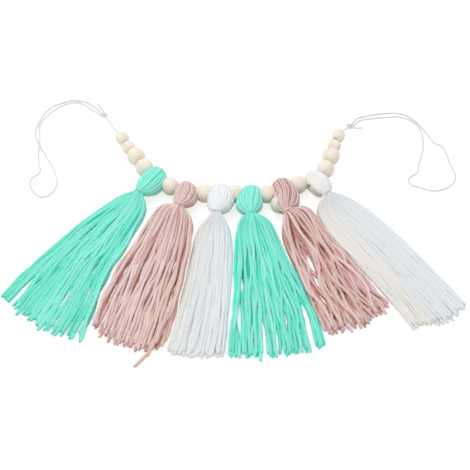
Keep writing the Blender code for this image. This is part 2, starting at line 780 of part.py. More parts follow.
def build():
    clear_scene()
    places = lay_out_string()
    left_knot, right_knot = knot_places(places)
    tangents = string_tangents(places, left_knot, right_knot)
    lines = {name: tassel_lines(name, places[name], tangents[name]) for name in TASSELS}
    for piece in STRING:
        if piece in TASSELS:
            add_tassel(piece, places[piece], tangents[piece], lines)
        else:
            add_string_bead(piece, places[piece], tangents[piece])
    line = threaded_route(places, left_knot, right_knot)
    cord_object("threaded_cord", smooth_curve(line, CORD_STEPS_PER_PIECE))
    add_knot("left_knot", left_knot)
    add_knot("right_knot", right_knot)
    cord_object("left_loop", loose_points(LEFT_LOOP_ROUTE, left_knot, 2))
    cord_object("right_loop", loose_points(RIGHT_LOOP_ROUTE, right_knot, 2))
    cord_object("left_tail", loose_points(LEFT_TAIL_ROUTE, left_knot, 2))
    cord_object("right_tail", loose_points(RIGHT_TAIL_ROUTE, right_knot, 2))
    return places, tangents


build()
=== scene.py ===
"""The looks of a garland of yarn tassels and wooden beads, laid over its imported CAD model.

Every piece takes its place from the CAD: the beads and the heads of the tassels from their joints and
boxes, the loops from the knots. Each tassel is its real yarns, folded over the cord, gathered at the
neck by a tie and piled on the surface out to their cut ends. Metres, +Z up, surface at z = 0.
"""

import json
import math

import bpy
import numpy as np
from mathutils import Matrix, Vector


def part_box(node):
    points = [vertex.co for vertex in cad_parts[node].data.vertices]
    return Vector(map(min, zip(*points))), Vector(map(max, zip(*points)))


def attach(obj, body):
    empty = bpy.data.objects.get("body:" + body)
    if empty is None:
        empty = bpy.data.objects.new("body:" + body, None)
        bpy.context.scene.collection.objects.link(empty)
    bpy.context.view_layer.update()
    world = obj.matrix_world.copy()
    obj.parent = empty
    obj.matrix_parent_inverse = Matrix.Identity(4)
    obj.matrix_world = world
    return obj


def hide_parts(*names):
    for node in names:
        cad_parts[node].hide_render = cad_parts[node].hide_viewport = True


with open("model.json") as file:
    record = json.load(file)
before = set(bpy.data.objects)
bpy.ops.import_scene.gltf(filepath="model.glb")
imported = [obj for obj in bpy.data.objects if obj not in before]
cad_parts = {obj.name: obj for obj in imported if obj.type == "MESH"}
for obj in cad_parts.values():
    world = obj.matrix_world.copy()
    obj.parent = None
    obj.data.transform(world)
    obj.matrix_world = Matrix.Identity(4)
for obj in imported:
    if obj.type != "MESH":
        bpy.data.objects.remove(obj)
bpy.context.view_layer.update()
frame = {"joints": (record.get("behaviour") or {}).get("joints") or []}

UP = np.array([0.0, 0.0, 1.0])

# Camera and light
CAMERA_TARGET = (0.0036, -0.0046, 0.0)
CAMERA_DISTANCE = 1.136
CAMERA_ELEVATION = 48.0
CAMERA_LENS = 100.0
SENSOR_WIDTH = 36.0
WORLD_LIGHT = 0.86
KEY_LIGHT_POWER = 4.2
KEY_LIGHT_SIZE = 0.60
KEY_LIGHT_PLACE = (-0.35, 0.25, 1.05)
FLOOR_SIZE = 6.0
FLOOR_DROP = 0.0002
FLOOR_GLOW = 0.77
FLOOR_COLOUR = (0.86, 0.86, 0.86, 1.0)
FLOOR_SEEN_COLOUR = (0.33, 0.33, 0.33, 1.0)
WHITE = (1.0, 1.0, 1.0, 1.0)
FLOOR_FINISH = {"Roughness": 0.9, "Specular IOR Level": 0.0, "Emission Color": WHITE}

# Yarn
YARN_RADIUS = 0.00158
HEAD_YARN_RADIUS = 0.00138
NECK_YARN_RADIUS = 0.00062
YARN_PLIES = 3
SIDES_PER_PLY = 3
PLY_DEPTH_SHARE = 0.08
PLY_PITCH = 0.018
YARN_RING_STEP = 0.0018
CUT_END_LENGTH = 0.0035
CUT_END_OPENING = 0.12
CUT_END_TAPER = 0.30
# How far the ply grooves take the painted groove shade
GROOVE_SHADE_SHARE = 0.30
# How far a strand's sides turned into the mass take the painted bounce light
SIDE_BOUNCE = 0.35

# The material of yarn: how its fibres and its patches of tone vary along and from strand to strand
YARN_FINISH = {
    "Roughness": 0.92, "Specular IOR Level": 0.18, "Sheen Weight": 0.08, "Sheen Roughness": 0.55,
}
YARN_BUMP = {"Distance": 0.00022, "Strength": 0.55}
FIBRE_NOISE = {"Scale": 1.0, "Detail": 4.0, "Roughness": 0.65}
PATCH_NOISE = {"Scale": 1.0, "Detail": 1.0, "Roughness": 0.5}
FIBRES_PER_METRE = 260.0
PATCHES_PER_METRE = 30.0
FIBRE_STRAND_STEP = 97.0
PATCH_STRAND_STEP = 53.0
FIBRE_GROOVE_STEP = 2.6
FIBRE_TONE = 0.5
PATCH_TONE = 0.5
FIBRE_HEIGHT = 0.7
GROOVE_HEIGHT = -0.5

# The two layers of yarn over each head, their fold, and how they draw away from a bare bead
FOLDED_OUTER = 13
FOLDED_INNER = 17
INNER_LAYER_DEPTH = 0.0010
LAYER_SPREAD = 0.0003
ANGLE_SPREAD = 0.035
# How far the head's outer layer takes the head's painted bounce light, against its inner layer
OUTER_BOUNCE_SHARE = 0.4
BUNCHES = 5
HEAD_STEPS = 25
FOLD_TOP = 0.0086
SHOULDER_TOP = 0.0104
SHOULDER_RISE = 0.001
HEAD_SIDE_ROOM = 0.0038
HEAD_TOP_ROOM = 0.0034
GATHERED_SIDE_ROOM = 0.0016
GATHERED_TOP_ROOM = -0.0004
GATHERED_BOTTOM_ROOM = -0.0008
SHOULDER_SHARE = 0.55
SHOULDER_RISE_SHARE = 0.6
GATHERED_SHARE = 0.5
HEAD_SMOOTHING = 1.6
SHIFT_FADE = 0.40
SHIFT_FADE_BY_NECK = 0.30
BARE_SHIFT_SHARE = 0.35
PINCH_SHARE = 0.28
FOLD_STEPS = 11
FOLD_LEAST_DEPTH = 0.12
FOLD_NARROWING = 0.12
ROUND_HEAD_REACH = 0.020
ROUND_HEAD_BLEND = 0.006
BARE_FROM = 0.16
BARE_FADE = 0.30
BARE_FADE_BELOW = 0.12
BARE_GAIN_BELOW = 1.8

# Necks and skirts
NECK_RADIUS = 0.0031
NECK_INNER_RADIUS = 0.0020
PILE_STEP = 0.0025
SKIRT_REACH_SHARE = 1.1
SKIRT_GRID = np.linspace(0.0, 1.12, 113)
ROOT_SHARE = 0.05
WIDTH_GAIN_PAST_END = 1.02
WIDTH_SMOOTHING = 3.0
SEAT_JITTER = 0.0003
SEAT_SPREAD = 0.6
RANK_JITTER = 0.0012
COURSE_FROM = 0.08
COURSE_OVER = 0.9
EDGE_OVERLAP = 0.3
PILE_SMOOTHING = 2.0
SUNK_FROM = 0.25
REST_SHARE = 0.95
STRAND_SMOOTHING = 1.2
YARN_SMOOTHING = 1.0
RAGGED_SPREAD = 0.6
STRAY_SHARE = 0.050
LOCK_PULL = 0.35
WANDER_REACH = 0.0015
WANDER_ROOT = 0.06
WANDER_LEAN = 0.2
WANDER_WAVES = ((0.110, 1.0), (0.060, 0.6), (0.034, 0.30))
THICKEN_REACH = 0.009
LEAVE_NECK_REACH = 0.011
ARCH_REACH = 0.010
# How far across the skirt the painted reflection of a neighbouring tassel reaches
PAINTED_TINT_REACH = 0.35
CROWN_STATION_SHARES = (0.0, 0.05, 0.12, 0.25, 0.45, 1.0)
CROWN_LOW = (0.0083, 0.0040, 0.0004, 0.0, 0.0, 0.0)
CROWN_HIGH = (0.0167, 0.0165, 0.0150, 0.0120, 0.0095, 0.0080)

# The tie round each neck
TIE_RADIUS = 0.00062
TIE_TURNS = 2.4
TIE_STEPS = 90
TIE_RING_STEP = 0.0009
TIE_TUCKED_TURNS = 0.12
TIE_TUCK = 0.35
TIE_SEAT = 0.55
TIE_SPREAD = 2.6
TIE_PITCH_SHARE = 0.6
TIE_TONE = 0.45

# Beads
BEAD_SEGMENTS = 40
BEAD_RINGS = 22
BORE_RADIUS = 0.0015
BORE_CHAMFER = 0.0003
RIM_EASE = 0.3
ROUNDNESS = 0.99
OUT_OF_ROUND = ((2, 0.006), (3, 0.004))
PHASE_RANGE = 6.0
SMALL_BEAD_LENGTH_SHARE = 1.05
SMALL_BEAD_LIMIT = 0.014
BEAD_SEED = 7

# The material of wood: its noises, and the levels above which rings, pores and specks show, with gains
WOOD_FINISH = {"Specular IOR Level": 0.32}
WOOD_BUMP = {"Distance": 0.00012, "Strength": 0.5}
GRAIN_SCALE = (60.0, 420.0, 420.0)
RING_SCALE = (25.0, 160.0, 160.0)
RING_NOISE = {"Scale": 1.0, "Detail": 2.0, "Roughness": 0.55}
PORE_NOISE = {"Scale": 3.0, "Detail": 3.0, "Roughness": 0.6}
SPECK_NOISE = {"Scale": 1.3, "Detail": 1.0, "Roughness": 0.5}
RING_LEVEL = (0.42, 2.6)
PORE_LEVEL = (0.55, 1.6)
SPECK_LEVEL = (0.72, 9.0)
RING_TONE = 0.7
WOOD_ROUGHNESS = 0.46
PORE_ROUGHNESS = 0.2

# Cord
CORD_RADIUS = 0.00080
CORD_PLIES = 3
CORD_PLY_DEPTH_SHARE = 0.10
CORD_PITCH = 0.0042
CORD_RING_STEP = 0.0007
STRAIGHT_SHARE = 0.8
KNOT_RADIUS = 0.0019
KNOT_WAVE = 0.0009
# How far the knot takes the cord's painted bounce light, which lightens the shade in its crossings
KNOT_BOUNCE = 0.6
KNOT_POINTS = 97
CORD_TONE = 0.5
RUN_STEPS = 6
TAIL_STEPS = 4
INTO_KNOT_SHARE = 0.6

# The marks that each point of a strand carries: besides its tone and its way along, they set where painted
# shade, painted bounce light, painted reflection and painted light on the head go
YARN_MARKS = ("tone", "along", "groove", "sunk", "painted_tint_share", "head_lit")

# Material names and colours: the fourth colour of a yarn is painted bounce light, lighter and more
# saturated than the rendered shade, for low strands and their sides, which lie in shade; the third is
# painted shade in the grooves, the fifth a painted warm tint and the sixth painted light on the head
YARN_TONES = ("body", "light", "groove_shade", "painted_bounce", "painted_tint", "head_light")
YARN_COLOURS = {
    "mint": ("mint_yarn", "76e2cd", "a6f0e4", "50cab3", "5cf4d8", "9eeee0", "bdf2ea"),
    "pink": ("pink_yarn", "dcbfbb", "f0dedc", "ac7d78", "dcaaa2", "e2cdbf", "e6cccc"),
    "white": ("white_yarn", "dbe0e3", "e3e7ea", "d8dde1", "f8f9fa", "ece0d0", "eef6fa"),
    "cord": ("cord_cotton", "d9d8e2", "e3e2ea", "c6c4d1", "e9e8f0", "d9d8e2", "d9d8e2"),
}
WOOD_TONES = ("body", "ring", "speck")
WOOD_COLOURS = ("pale_wood", "ebe3d5", "ded1bb", "bda582")

# How each tassel lies, in metres and degrees, or as shares:
# headings: where its skirt points by the neck and at its ends, from +X towards +Y
# length: of its strands past the neck; slant: how much longer they are on the right; ragged: at random
# left, right: the widths of its skirt either side of its middle line, at the stations
# arch: how far the skirt's left and right sides swell back past the neck
# press: how high its strands pile up; stray: how far they wander; locks: how many locks they gather in
# bare: how far the yarns on the left draw away from the bead in the head
# fold_half, fold_depth, corner, fold_turn, rise: the fold's half width behind the cord, its depth, how
# square it is, how far it is turned and how much higher it stands
# puff, lean: how much wider the head is, and how far it leans to the right
# slim, clump: how thin the head's outer yarns are, and how far they gather in bunches
# head_bounce, head_light, head_shade: how far the head takes the painted bounce light and the head's
# painted light, and how far its inner yarns take the groove's painted shade
# tint, painted_tint_at: how strongly the strands take a painted warm colour, the reflection of a
# neighbouring tassel, and where, from the left at 0 to the right at 1
# pale: how far all its strands go towards the light colour
# core_share: the size of the bead in its head against the CAD's; seed: of its random draws
WIDTH_STATION_SHARES = (0.0, 0.05, 0.12, 0.25, 0.45, 0.70, 1.0)
PLAIN_TASSEL = dict(
    bare=0.0, fold_turn=0.0, rise=0.0, puff=0.0, lean=0.0, slim=1.0, clump=0.0, head_shade=0.0,
    painted_tint=0.0, painted_tint_at=1.0, pale=0.0, core_share=1.0,
)
TASSELS = {
    "tassel_1": dict(
        PLAIN_TASSEL, yarn="mint", headings=(-123, -119), length=0.160, slant=0.025, ragged=0.022,
        left=(0.0042, 0.0156, 0.0206, 0.0264, 0.0318, 0.0366, 0.0390),
        right=(0.0042, 0.0118, 0.0162, 0.0204, 0.0268, 0.0362, 0.0500),
        arch=(0.005, 0.006), press=0.50, stray=0.8, locks=9, fold_half=0.0114, fold_depth=0.0116,
        corner=0.60, fold_turn=20.0, puff=0.0008, slim=0.74, clump=0.25, head_bounce=0.35,
        head_light=0.7, head_shade=1.8, seed=11,
    ),
    "tassel_2": dict(
        PLAIN_TASSEL, yarn="pink", headings=(-106, -104), length=0.152, slant=0.010, ragged=0.020,
        left=(0.0042, 0.0192, 0.0234, 0.0274, 0.0326, 0.0356, 0.0350),
        right=(0.0042, 0.0148, 0.0188, 0.0234, 0.0284, 0.0324, 0.0330),
        arch=(0.010, 0.003), press=0.66, stray=0.8, locks=8, fold_half=0.0102, fold_depth=0.0100,
        corner=0.70, fold_turn=12.0, lean=-0.0010, slim=0.72, clump=0.20, head_bounce=-0.30,
        head_light=0.3, head_shade=1.6, painted_tint=0.9, pale=0.25, seed=22,
    ),
    "tassel_3": dict(
        PLAIN_TASSEL, yarn="white", headings=(-92, -97), length=0.151, slant=0.0, ragged=0.012,
        left=(0.0048, 0.0135, 0.0174, 0.0188, 0.0212, 0.0256, 0.0288),
        right=(0.0048, 0.0108, 0.0138, 0.0162, 0.0176, 0.0194, 0.0206),
        arch=(0.002, 0.002), press=0.42, stray=0.35, locks=6, fold_half=0.0118, fold_depth=0.0104,
        corner=0.35, head_bounce=0.8, head_light=0.4, painted_tint=0.6, painted_tint_at=0.0, seed=33,
    ),
    "tassel_4": dict(
        PLAIN_TASSEL, yarn="mint", headings=(-79, -81), length=0.149, slant=0.020, ragged=0.020,
        left=(0.0042, 0.0138, 0.0176, 0.0208, 0.0278, 0.0378, 0.0480),
        right=(0.0042, 0.0148, 0.0186, 0.0220, 0.0278, 0.0342, 0.0368),
        arch=(0.003, 0.004), press=0.64, stray=0.8, locks=8, fold_half=0.0110, fold_depth=0.0100,
        corner=0.60, puff=0.0014, slim=0.76, clump=0.18, head_bounce=0.30, head_light=0.65,
        head_shade=1.5, pale=0.15, seed=44,
    ),
    "tassel_5": dict(
        PLAIN_TASSEL, yarn="pink", headings=(-61, -67), length=0.133, slant=0.070, ragged=0.022,
        left=(0.0042, 0.0105, 0.0142, 0.0180, 0.0222, 0.0276, 0.0308),
        right=(0.0042, 0.0195, 0.0215, 0.0224, 0.0240, 0.0272, 0.0318),
        arch=(0.001, 0.010), press=0.78, stray=1.7, locks=7, bare=0.26, fold_half=0.0120,
        fold_depth=0.0138, corner=0.70, fold_turn=-6.0, rise=0.0024, puff=0.0012, lean=0.0022,
        slim=0.70, clump=0.25, head_bounce=-0.30, head_light=0.3, head_shade=2.2, pale=-0.1, seed=55,
    ),
    "tassel_6": dict(
        PLAIN_TASSEL, yarn="white", headings=(-55, -59), length=0.1635, slant=0.065, ragged=0.015,
        left=(0.0042, 0.0160, 0.0210, 0.0235, 0.0243, 0.0240, 0.0262),
        right=(0.0042, 0.0170, 0.0230, 0.0290, 0.0310, 0.0310, 0.0322),
        arch=(0.006, 0.004), press=0.42, stray=0.45, locks=7, bare=0.38, fold_half=0.0100,
        fold_depth=0.0076, corner=0.60, head_bounce=0.6, head_light=0.0, painted_tint=0.7, painted_tint_at=0.15,
        core_share=0.94, seed=66,
    ),
}

# The one strand that strays far from its skirt
LOOSE_TASSEL = "tassel_2"
LOOSE_STRAND = 2
LOOSE_FROM_SHARE = 0.62
LOOSE_STEPS = 8
LOOSE_SMOOTHING = 2.0
LOOSE_ROUTE = (
    (-0.0575, -0.1165, 0.0085), (-0.0602, -0.1245, 0.0070), (-0.0648, -0.1330, 0.0036),
    (-0.0708, -0.1400, 0.0016), (-0.0768, -0.1474, 0.0015),
)

# Routes of the cord's free runs, as in the CAD, measured on the surface from the middle of their knot:
# each loop leaves its knot and comes back to it, and each tail ends free. A point with two numbers lies
# on the surface
LEFT_LOOP_ROUTE = (
    (-0.0027, 0.0030, 0.0011), (-0.0092, 0.0109, 0.0010), (-0.0186, 0.0186), (-0.0312, 0.0213),
    (-0.0387, 0.0185), (-0.0460, 0.0149), (-0.0522, 0.0094), (-0.0566, 0.0023), (-0.0600, -0.0070),
    (-0.0621, -0.0163), (-0.0625, -0.0257), (-0.0601, -0.0339), (-0.0555, -0.0436), (-0.0496, -0.0545),
    (-0.0437, -0.0662), (-0.0391, -0.0778), (-0.0366, -0.0885), (-0.0379, -0.0974), (-0.0426, -0.1045),
    (-0.0492, -0.1066), (-0.0556, -0.1020), (-0.0598, -0.0937), (-0.0605, -0.0850), (-0.0572, -0.0803),
    (-0.0539, -0.0773), (-0.0534, -0.0721), (-0.0553, -0.0644), (-0.0566, -0.0547, 0.0010),
    (-0.0570, -0.0484, 0.0021), (-0.0570, -0.0428, 0.0027), (-0.0573, -0.0361, 0.0022),
    (-0.0583, -0.0261, 0.0010), (-0.0596, -0.0171), (-0.0581, -0.0086), (-0.0530, 0.0005),
    (-0.0469, 0.0086), (-0.0393, 0.0148), (-0.0304, 0.0179), (-0.0212, 0.0159),
    (-0.0042, 0.0009, 0.0011),
)
RIGHT_LOOP_ROUTE = (
    (0.0025, 0.0033, 0.0011), (0.0078, 0.0109, 0.0010), (0.0146, 0.0136), (0.0242, 0.0165),
    (0.0358, 0.0183), (0.0453, 0.0185), (0.0527, 0.0164), (0.0601, 0.0103), (0.0656, 0.0027),
    (0.0703, -0.0066), (0.0749, -0.0175), (0.0781, -0.0226), (0.0824, -0.0250), (0.0856, -0.0297),
    (0.0871, -0.0371), (0.0892, -0.0496), (0.0923, -0.0637), (0.0903, -0.0723), (0.0845, -0.0787),
    (0.0764, -0.0829), (0.0678, -0.0832), (0.0593, -0.0797), (0.0521, -0.0770), (0.0494, -0.0728),
    (0.0503, -0.0675), (0.0539, -0.0641), (0.0575, -0.0614), (0.0596, -0.0566), (0.0602, -0.0504),
    (0.0633, -0.0412), (0.0663, -0.0293), (0.0672, -0.0174), (0.0663, -0.0062), (0.0626, 0.0034),
    (0.0555, 0.0103), (0.0458, 0.0135), (0.0334, 0.0126), (0.0201, 0.0108), (0.0104, 0.0082, 0.0009),
    (0.0040, 0.0011, 0.0011),
)
LEFT_TAIL_ROUTE = (
    (-0.0002, 0.0041, 0.0010), (-0.0026, 0.0086), (-0.0054, 0.0130), (-0.0076, 0.0172),
)
RIGHT_TAIL_ROUTE = (
    (0.0039, -0.0013, 0.0010), (0.0078, -0.0020), (0.0118, -0.0012),
)


# Colours and plain shader nodes

def linear(code):
    """The linear colour of an sRGB hex code."""
    out = []
    for k in (0, 2, 4):
        c = int(code[k:k + 2], 16) / 255
        out.append(c / 12.92 if c <= 0.04045 else ((c + 0.055) / 1.055) ** 2.4)
    return (*out, 1.0)


def feed(tree, node, values):
    """Sets a node's sockets to values, or links them from other sockets, and gives the node back."""
    for label, value in values.items():
        if isinstance(value, (int, float, tuple)):
            node.inputs[label].default_value = value
        else:
            tree.links.new(value, node.inputs[label])
    return node


def math_node(tree, operation, first, second, clamp=False):
    """The output of a Math node on two sockets or numbers."""
    node = tree.nodes.new("ShaderNodeMath")
    node.operation = operation
    node.use_clamp = clamp
    return feed(tree, node, {0: first, 1: second}).outputs[0]


def above(tree, value, middle, gain, clamp=False):
    """How far a value is above a middle, times a gain."""
    return math_node(tree, "MULTIPLY", math_node(tree, "SUBTRACT", value, middle), gain, clamp)


def mix_colours(tree, factor, first, second):
    node = tree.nodes.new("ShaderNodeMix")
    node.data_type = "RGBA"
    return feed(tree, node, {"Factor": factor, "A": first, "B": second}).outputs["Result"]


# Camera, light and floor

def set_camera():
    camera = bpy.data.objects.new("camera", bpy.data.cameras.new("camera"))
    camera.data.lens = CAMERA_LENS
    camera.data.sensor_width = SENSOR_WIDTH
    lean = math.radians(CAMERA_ELEVATION)
    back = Vector((0.0, -math.cos(lean), math.sin(lean))) * CAMERA_DISTANCE
    camera.location = Vector(CAMERA_TARGET) + back
    camera.rotation_euler = (math.pi / 2 - lean, 0.0, 0.0)
    bpy.context.scene.collection.objects.link(camera)
    bpy.context.scene.camera = camera


def seen_or_mirrored(tree):
    """1 for the camera's own rays and for those that a gloss or a glass sends on, else 0."""
    ray = tree.nodes.new("ShaderNodeLightPath").outputs
    sent_on = math_node(tree, "MAXIMUM", ray["Is Glossy Ray"], ray["Is Transmission Ray"])
    return math_node(tree, "MAXIMUM", ray["Is Camera Ray"], sent_on)


def set_light():
    world = bpy.data.worlds.new("studio")
    bpy.context.scene.world = world
    world.use_nodes = True
    tree = world.node_tree
    tree.nodes.clear()
    lit, seen = [
        feed(tree, tree.nodes.new("ShaderNodeBackground"), {"Color": WHITE, "Strength": strength})
        for strength in (WORLD_LIGHT, 1.0)
    ]
    choose = tree.nodes.new("ShaderNodeMixShader")
    feed(tree, choose, {0: seen_or_mirrored(tree), 1: lit.outputs[0], 2: seen.outputs[0]})
    feed(tree, tree.nodes.new("ShaderNodeOutputWorld"), {"Surface": choose.outputs[0]})

    lamp = bpy.data.objects.new("key_light", bpy.data.lights.new("key_light", "AREA"))
    lamp.data.energy = KEY_LIGHT_POWER
    lamp.data.size = KEY_LIGHT_SIZE
    lamp.location = KEY_LIGHT_PLACE
    lamp.rotation_euler = (-Vector(KEY_LIGHT_PLACE)).to_track_quat("-Z", "Y").to_euler()
    bpy.context.scene.collection.objects.link(lamp)


def add_floor():
    half = FLOOR_SIZE / 2
    mesh = bpy.data.meshes.new("floor")
    corners = [(-half, -half, 0), (half, -half, 0), (half, half, 0), (-half, half, 0)]
    mesh.from_pydata(corners, [], [(0, 1, 2, 3)])
    finish, tree, shader = new_material("white_floor")
    seen = seen_or_mirrored(tree)
    feed(tree, shader, FLOOR_FINISH)
    feed(tree, shader, {
        "Emission Strength": math_node(tree, "MULTIPLY", seen, FLOOR_GLOW),
        "Base Color": mix_colours(tree, seen, FLOOR_COLOUR, FLOOR_SEEN_COLOUR),
    })
    mesh.materials.append(finish)
    floor = bpy.data.objects.new("floor", mesh)
    floor.location.z = -FLOOR_DROP
    bpy.context.scene.collection.objects.link(floor)


# Materials

def new_group(name, inputs, outputs):
    """A shader group with those sockets, and its input and output nodes."""
    group = bpy.data.node_groups.new(name, "ShaderNodeTree")
    for way, sockets in (("INPUT", inputs), ("OUTPUT", outputs)):
        for label, kind in sockets:
            group.interface.new_socket(label, in_out=way, socket_type=kind)
    return group, group.nodes.new("NodeGroupInput"), group.nodes.new("NodeGroupOutput")


def noise(tree, vector, settings):
    node = tree.nodes.new("ShaderNodeTexNoise")
    return feed(tree, node, {"Vector": vector, **settings}).outputs["Fac"]


def yarn_group():
    """Spun yarn: its colour from strand to strand, painted shade in its grooves, painted bounce light,
    reflection and head light where its marks say, and the height of its fibres.
    """
    colour, number = "NodeSocketColor", "NodeSocketFloat"
    group, given, out = new_group(
        "spun_yarn",
        [(label, colour) for label in YARN_TONES] + [(label, number) for label in YARN_MARKS],
        [("Color", colour), ("Height", number)],
    )
    value = given.outputs
    places = []
    for axes in (
        (("X", "along", FIBRES_PER_METRE), ("Y", "groove", FIBRE_GROOVE_STEP),
         ("Z", "tone", FIBRE_STRAND_STEP)),
        (("X", "along", PATCHES_PER_METRE), ("Y", "tone", PATCH_STRAND_STEP)),
    ):
        place = group.nodes.new("ShaderNodeCombineXYZ")
        feed(group, place, {
            axis: math_node(group, "MULTIPLY", value[mark], scale) for axis, mark, scale in axes})
        places.append(place.outputs[0])
    fibres = noise(group, places[0], FIBRE_NOISE)
    patches = noise(group, places[1], PATCH_NOISE)
    tone = math_node(group, "ADD", value["tone"], above(group, patches, 0.5, PATCH_TONE))
    tone = math_node(group, "ADD", tone, above(group, fibres, 0.5, FIBRE_TONE), True)
    lit = mix_colours(group, tone, value["body"], value["light"])
    # Painted reflection of neighbouring tassels, and the loose strand's painted shade colour
    lit = mix_colours(group, value["painted_tint_share"], lit, value["painted_tint"])
    # Painted light on the head, which catches more light than the skirt
    lit = mix_colours(group, value["head_lit"], lit, value["head_light"])
    # Painted shade in the ply grooves, and on the head's inner yarns
    groove_shade_share = math_node(group, "MULTIPLY", value["groove"], GROOVE_SHADE_SHARE, True)
    lit = mix_colours(group, groove_shade_share, lit, value["groove_shade"])
    height = math_node(group, "ADD", math_node(group, "MULTIPLY", fibres, FIBRE_HEIGHT),
                       math_node(group, "MULTIPLY", value["groove"], GROOVE_HEIGHT))
    # Painted bounce light, lighter and more saturated, on sunk strands and on sides turned into the mass
    feed(group, out, {"Color": mix_colours(group, value["sunk"], lit, value["painted_bounce"]), "Height": height})
    return group


def wood_group():
    """Bare turned wood: pale growth rings, fine pores along the grain and a few specks."""
    colour, number, vector = "NodeSocketColor", "NodeSocketFloat", "NodeSocketVector"
    group, given, out = new_group(
        "turned_wood",
        [(label, colour) for label in WOOD_TONES] + [("place", vector)],
        [("Color", colour), ("Height", number), ("Roughness", number)],
    )
    value = given.outputs
    grain, ringed = [
        feed(group, group.nodes.new("ShaderNodeMapping"), {"Scale": scale, "Vector": value["place"]})
        for scale in (GRAIN_SCALE, RING_SCALE)
    ]
    rings = noise(group, ringed.outputs[0], RING_NOISE)
    pores = noise(group, grain.outputs[0], PORE_NOISE)
    specks = noise(group, grain.outputs[0], SPECK_NOISE)
    ring_share = math_node(group, "MULTIPLY", above(group, rings, *RING_LEVEL, True), RING_TONE)
    shade = math_node(group, "ADD", ring_share, above(group, pores, *PORE_LEVEL, True), True)
    body = mix_colours(group, shade, value["body"], value["ring"])
    rough = math_node(group, "MULTIPLY", pores, PORE_ROUGHNESS)
    feed(group, out, {
        "Color": mix_colours(group, above(group, specks, *SPECK_LEVEL, True), body, value["speck"]),
        "Height": math_node(group, "MULTIPLY", pores, -1.0),
        "Roughness": math_node(group, "ADD", WOOD_ROUGHNESS, rough),
    })
    return group


def new_material(name):
    made = bpy.data.materials.new(name)
    made.use_nodes = True
    return made, made.node_tree, made.node_tree.nodes["Principled BSDF"]


def attribute(tree, name):
    node = tree.nodes.new("ShaderNodeAttribute")
    node.attribute_name = name
    return node.outputs["Fac"]


def bump(tree, height, settings):
    node = tree.nodes.new("ShaderNodeBump")
    return feed(tree, node, {"Height": height, **settings}).outputs["Normal"]


def yarn_material(group, name, *codes):
    """A yarn's material: its tones from strand to strand, with painted shade in its grooves and painted
    bounce light between its neighbours.
    """
    made, tree, shader = new_material(name)
    spun = tree.nodes.new("ShaderNodeGroup")
    spun.node_tree = group
    feed(tree, spun, {label: linear(code) for label, code in zip(YARN_TONES, codes)})
    feed(tree, spun, {label: attribute(tree, label) for label in YARN_MARKS})
    normal = bump(tree, spun.outputs["Height"], YARN_BUMP)
    feed(tree, shader, {"Base Color": spun.outputs["Color"], "Normal": normal, **YARN_FINISH})
    return made


def wood_material(group, name, *codes):
    """Bare wood, its grain set by the place in the bead's own space."""
    made, tree, shader = new_material(name)
    turned = tree.nodes.new("ShaderNodeGroup")
    turned.node_tree = group
    feed(tree, turned, {label: linear(code) for label, code in zip(WOOD_TONES, codes)})
    feed(tree, turned, {"place": tree.nodes.new("ShaderNodeTexCoord").outputs["Object"]})
    feed(tree, shader, {
        "Base Color": turned.outputs["Color"], "Roughness": turned.outputs["Roughness"],
        "Normal": bump(tree, turned.outputs["Height"], WOOD_BUMP), **WOOD_FINISH,
    })
    return made


def make_materials():
    yarn, wood = yarn_group(), wood_group()
    made = {name: yarn_material(yarn, *colours) for name, colours in YARN_COLOURS.items()}
    made["wood"] = wood_material(wood, *WOOD_COLOURS)
    return made


# Meshes of yarn and cord

def add_piece(name, mesh, finish, body, node, place=None):
    """Links a mesh as a named piece that rides on a body and stands for a CAD node."""
    mesh.materials.append(MATERIALS[finish])
    piece = bpy.data.objects.new(name, mesh)
    bpy.context.scene.collection.objects.link(piece)
    if place is not None:
        piece.matrix_world = place
        bpy.context.view_layer.update()
    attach(piece, body)
    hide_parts(node)
    return piece


def node_centre(node):
    low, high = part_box(node)
    return np.array((low + high) / 2)


def distances(line):
    """How far along a line each of its points is."""
    return np.concatenate([[0.0], np.cumsum(np.linalg.norm(np.diff(line, axis=0), axis=1))])


def read_line(line, ways, wanted):
    """A line read off where its points' ways along have the wanted values."""
    return np.stack([np.interp(wanted, ways, line[:, k]) for k in range(3)], axis=1)


def smooth_rows(rows, reach):
    """The rows averaged along their first axis under a bell that wide, with the two ends held."""
    if reach < 0.3:
        return rows
    half = int(math.ceil(reach * 3))
    bell = np.exp(-0.5 * (np.arange(-half, half + 1) / reach) ** 2)
    bell /= bell.sum()
    first = 2 * rows[:1] - rows[half:0:-1]
    last = 2 * rows[-1:] - rows[-2:-half - 2:-1]
    padded = np.concatenate([first, rows, last])
    out = np.empty_like(rows)
    for k in range(rows.shape[1]):
        out[:, k] = np.convolve(padded[:, k], bell, mode="valid")
    return out


def resampled(line, values, step):
    """A line, and rows of values carried along it, at even steps of its length."""
    ways = distances(line)
    count = max(4, int(round(ways[-1] / step)) + 1)
    wanted = np.linspace(0.0, ways[-1], count)
    return read_line(line, ways, wanted), [np.interp(wanted, ways, row) for row in values], wanted


def unit(rows):
    return rows / np.maximum(np.linalg.norm(rows, axis=-1, keepdims=True), 1e-12)


